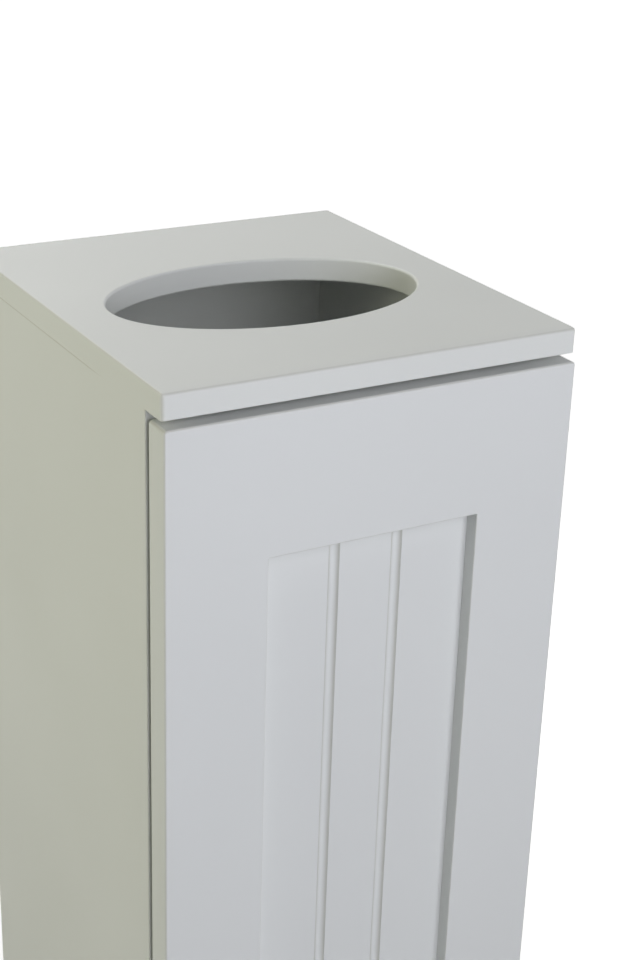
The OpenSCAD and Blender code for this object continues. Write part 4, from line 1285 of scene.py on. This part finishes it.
knob_screw_low, knob_screw_high = corners("knob_screw")
knob_screw_outline = cut_end(KNOB_SCREW_R_MM, knob_screw_low.y - knob_screw_high.y)
knob_screw_outline += [
    (KNOB_SCREW_R_MM, -KNOB_SCREW_HEAD_MM), (KNOB_SCREW_HEAD_R_MM, HAIR_MM - KNOB_SCREW_HEAD_MM)]
knob_screw_outline += quarter(
    KNOB_SCREW_HEAD_R_MM - KNOB_SCREW_SOFT_MM, -KNOB_SCREW_SOFT_MM, KNOB_SCREW_SOFT_MM, 0)
knob_screw = turned("knob_screw", knob_screw_outline, plated_zinc)
cross_recess(knob_screw, KNOB_SCREW_HEAD_R_MM * 2)
knob_screw_head = Vector((knob_foot.x, stile_high.y + KNOB_SCREW_HEAD_MM, knob_foot.z))
put("knob_screw", knob_screw, [(knob_screw_head, BACKWARD)], plated_zinc)

# %% [markdown]
# ## Knob, hinge pins and bumpers
#
# The knob is outside the photograph, so it follows what such doors carry: a foot, a waisted neck
# and a domed head. Its outline is three curves that run into one another. The hinge pins are plain
# wire with a button head that keeps them from falling through. The bumpers are drops of clear
# rubber.

# %% Knob
KNOB_FOOT_R_MM, KNOB_NECK_R_MM, KNOB_HEAD_R_MM, KNOB_REACH_MM = 6.5, 4.55, 13, 23
KNOB_FOOT_MM, KNOB_SOFT_MM, KNOB_STEPS = 1.2, 0.3, 16
NECK_SHARE, HEAD_SHARE, RIM_SHARE = 0.4, 0.62, 0.78  # of the knob's reach
neck_at, head_at, rim_at = (KNOB_REACH_MM * share for share in (NECK_SHARE, HEAD_SHARE, RIM_SHARE))
bends = quarter_turn(KNOB_STEPS)
knob_outline = [(KNOB_FOOT_R_MM, 0)] + quarter(
    KNOB_FOOT_R_MM - KNOB_SOFT_MM, KNOB_FOOT_MM - KNOB_SOFT_MM, KNOB_SOFT_MM, 0)
knob_outline += [
    (KNOB_FOOT_R_MM - (KNOB_FOOT_R_MM - KNOB_NECK_R_MM) * math.sin(a),
     neck_at - (neck_at - KNOB_FOOT_MM) * math.cos(a)) for a in bends[2:]]
knob_outline += [
    (KNOB_NECK_R_MM + (KNOB_HEAD_R_MM - KNOB_NECK_R_MM) * math.sin(a),
     rim_at - (rim_at - head_at) * math.cos(a)) for a in bends]
knob_outline += [
    (KNOB_HEAD_R_MM * math.cos(a), rim_at + (KNOB_REACH_MM - rim_at) * math.sin(a))
    for a in bends[1:]]
knob = turned("knob", knob_outline, knob_nickel)
drilled(knob, [(Vector(), -UPWARD, KNOB_BORE_MM, KNOB_REACH_MM / 2 + PAST_MM)], knob_nickel)
knob_seat = Vector((knob_foot.x, stile_low.y, knob_foot.z))
put("door_knob", knob, [(knob_seat, FRONTWARD)], knob_nickel)

# %% Hinge pins and bumpers
PIN_HEAD_MM, PIN_HEAD_R_MM, HINGE_PIN_R_MM = 0.8, 1.8, 1.1
for place, (low, high) in zip(("lower", "upper"), hinge_pin_boxes):
    pin_outline = cut_end(HINGE_PIN_R_MM, 0)
    pin_outline += [(HINGE_PIN_R_MM, HINGE_LENGTH_MM), (PIN_HEAD_R_MM, HINGE_LENGTH_MM + HAIR_MM)]
    pin_outline += quarter(
        PIN_HEAD_R_MM - PIN_HEAD_MM / 2, HINGE_LENGTH_MM + PIN_HEAD_MM / 2, PIN_HEAD_MM / 2, 0)
    hinge_pin = turned("hinge_pin", pin_outline, nickel)
    foot = Vector(((low.x + high.x) / 2, (low.y + high.y) / 2, low.z))
    put(f"hinge_{place}_pin", hinge_pin, [(foot, UPWARD)], nickel)

bumper_low, bumper_high = corners("door_bumpers")
BUMPER_R_MM = 3
BUMPER_WALL = 0.25  # of its thickness, below the dome
bumper_t = bumper_high.y - bumper_low.y
bumper = turned("bumper", [(BUMPER_R_MM, 0)] + [
    (BUMPER_R_MM * math.cos(a), bumper_t * (BUMPER_WALL + (1 - BUMPER_WALL) * math.sin(a)))
    for a in bends], clear_rubber)
bumper_x = (bumper_low.x + bumper_high.x) / 2
bumper_heights = (bumper_low.z + BUMPER_R_MM, bumper_high.z - BUMPER_R_MM)
bumper_places = in_rows(bumper_x, [bumper_low.y], bumper_heights, BACKWARD)
put("door_bumpers", bumper, bumper_places, clear_rubber)

# %% [markdown]
# ## Finishes of the pieces that stay as CAD nodes
#
# Boards with straight butt edges, hinge leaves and small fittings are exact enough as they come.
# They only need their real finish in the material slot.

# %% Materials on CAD nodes
FINISHES = {
    "cabinet_paint": cabinet_lacquer, "door_paint": door_lacquer, "beech": beech_wood,
    "zinc_plated_steel": plated_zinc, "brushed_nickel": nickel, "white_plastic": white_plastic,
    "ferrite": ferrite, "soft_rubber": clear_rubber,
}
for name, node in frame["nodes"].items():
    node.data.materials.clear()
    node.data.materials.append(FINISHES[SLOT_OF[name]])
frame["nodes"]["cam_locks"].data.materials[0] = cast_zinc
frame["nodes"]["door_knob"].data.materials[0] = knob_nickel
print(f"{sum(not node.hide_render for node in frame['nodes'].values())} CAD nodes stay visible")

# %% [markdown]
# ## Floor and world
#
# The cabinet was photographed on white. A white wall that is lit from behind would also light the
# cabinet, so here the white is only seen. A Light Path node tells what a ray is for: the world is
# white to the camera, in gloss and through clear rubber, and gives no light of its own. The floor
# is matt and takes light and shadow, and it also glows, for the camera and in gloss only. The glow
# grows outwards, so the floor fades to white but keeps the shadow at the cabinet's foot.

# %% Floor and world
FLOOR_HALF_M = 6.0
GLOW_NEAR, GLOW_FAR = 0.55, 1.0
GLOW_FROM_M, GLOW_TO_M = 0.3, 1.0
WHITE = (1, 1, 1, 1)


def seen_not_lit(tree, kinds):
    """1 for the rays of a Light Path's named outputs, and 0 for rays that carry light."""
    path = add_node(tree, "ShaderNodeLightPath")
    seen = path.outputs[kinds[0]]
    for kind in kinds[1:]:
        either = add_node(
            tree, "ShaderNodeMath", operation="MAXIMUM", links={0: seen, 1: path.outputs[kind]})
        seen = either.outputs[0]
    return seen


floor_mesh = bpy.data.meshes.new("floor")
corner_signs = ((-1, -1), (1, -1), (1, 1), (-1, 1))
floor_mesh.from_pydata(
    [(x * FLOOR_HALF_M, y * FLOOR_HALF_M, 0) for x, y in corner_signs], [], [(0, 1, 2, 3)])
floor = add_object("floor", floor_mesh)
floor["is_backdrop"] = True
floor_finish, tree, shader = new_material(
    "matt_white_floor", Roughness=0.9, Base_Color=linear("#E6E6E4"), Emission_Color=WHITE)
place = add_node(tree, "ShaderNodeTexCoord").outputs["Object"]
distance = add_node(tree, "ShaderNodeVectorMath", operation="LENGTH", links={0: place})
fade = add_node(
    tree, "ShaderNodeMapRange", interpolation_type="SMOOTHSTEP",
    links={"Value": distance.outputs["Value"]}, values={
        "From Min": GLOW_FROM_M, "From Max": GLOW_TO_M, "To Min": GLOW_NEAR, "To Max": GLOW_FAR})
glow = add_node(
    tree, "ShaderNodeMath", operation="MULTIPLY",
    links={0: fade.outputs["Result"], 1: seen_not_lit(tree, ("Is Camera Ray", "Is Glossy Ray"))})
tree.links.new(glow.outputs[0], shader.inputs["Emission Strength"])
floor_mesh.materials.append(floor_finish)

world = bpy.data.worlds.new("studio")
bpy.context.scene.world = world
world.use_nodes = True
tree = world.node_tree
tree.nodes.clear()
seen = seen_not_lit(tree, ("Is Camera Ray", "Is Glossy Ray", "Is Transmission Ray"))
background = add_node(
    tree, "ShaderNodeBackground", links={"Strength": seen}, values={"Color": WHITE})
add_node(tree, "ShaderNodeOutputWorld", links={"Surface": background.outputs["Background"]})
print(f"floor's glow: {GLOW_NEAR} up to {GLOW_FROM_M} m, {GLOW_FAR} from {GLOW_TO_M} m on")

# %% [markdown]
# ## Lamps
#
# Seven softboxes do the work of a small studio. Two large ones stand in front and are a little
# cool. Two on the left are a little warm, and this difference sets the bluish door off against the
# greenish side. One above lights the top face. The last two light the right side and the back, for
# other views.
#
# The light in the photograph fades downwards. A narrow spread dims a softbox away from its axis, so
# the lamps in front and on the left aim above the cabinet and fade towards its foot. Cycles keeps a
# lamp's total power, so a narrow spread makes its axis brighter, and its watts come down for that.
# A lamp behind the cabinet and a little above the top would show in the lacquer's gloss as a white
# glare, so those behind it and on its right are either lower than the top or steeply above it.

# %% Lamps
CABINET_MIDDLE, OVER_THE_TOP = (0, -0.09, 0.6), (0, -0.09, 0.85)
COOL, WARM, SOFT_WHITE, PLAIN_WHITE = "#F6F7FF", "#FFFFE5", "#FAFAFC", "#FFFFFF"


def softbox(name, place, aim, size, watts, hex_colour, spread_deg):
    """A square softbox in metres, aimed at a point; a narrow spread dims it off its axis."""
    data = bpy.data.lights.new(name, "AREA")
    data.shape = "SQUARE"
    data.size = size
    data.spread = math.radians(spread_deg)
    data.energy = watts
    data.color = linear(hex_colour)[:3]
    lamp = bpy.data.objects.new(name, data)
    lamp.location = place
    lamp.rotation_euler = (Vector(aim) - Vector(place)).to_track_quat("-Z", "Y").to_euler()
    bpy.context.scene.collection.objects.link(lamp)


softbox("softbox_front_low", (0.1, -1.7, 0.65), OVER_THE_TOP, 1.2, 3.52, COOL, 100)
softbox("softbox_front_high", (0.05, -1.3, 1.25), OVER_THE_TOP, 1.0, 3.72, COOL, 110)
softbox("softbox_left", (-1.1, 0.0, 1.15), (-0.09, -0.17, 0.72), 0.8, 1.33, WARM, 90)
softbox("softbox_left_back", (-1.9, 0.9, 0.5), (-0.09, -0.15, 0.85), 0.9, 1.84, WARM, 80)
softbox("softbox_top", (0.0, 0.7, 1.6), (0, 0.03, 0.66), 0.8, 2.1, SOFT_WHITE, 90)
softbox("softbox_right", (1.3, 0.0, 0.5), CABINET_MIDDLE, 0.7, 3.4, PLAIN_WHITE, 120)
softbox("softbox_back", (0.2, 1.5, 0.5), CABINET_MIDDLE, 0.7, 3.2, PLAIN_WHITE, 120)

bpy.context.scene.view_settings.view_transform = "Standard"

# %% [markdown]
# ## The dressed cabinet's size
#
# The dressed cabinet has to fill the same box as the CAD model. Its box is measured here.

# %% Sizes
low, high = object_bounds()
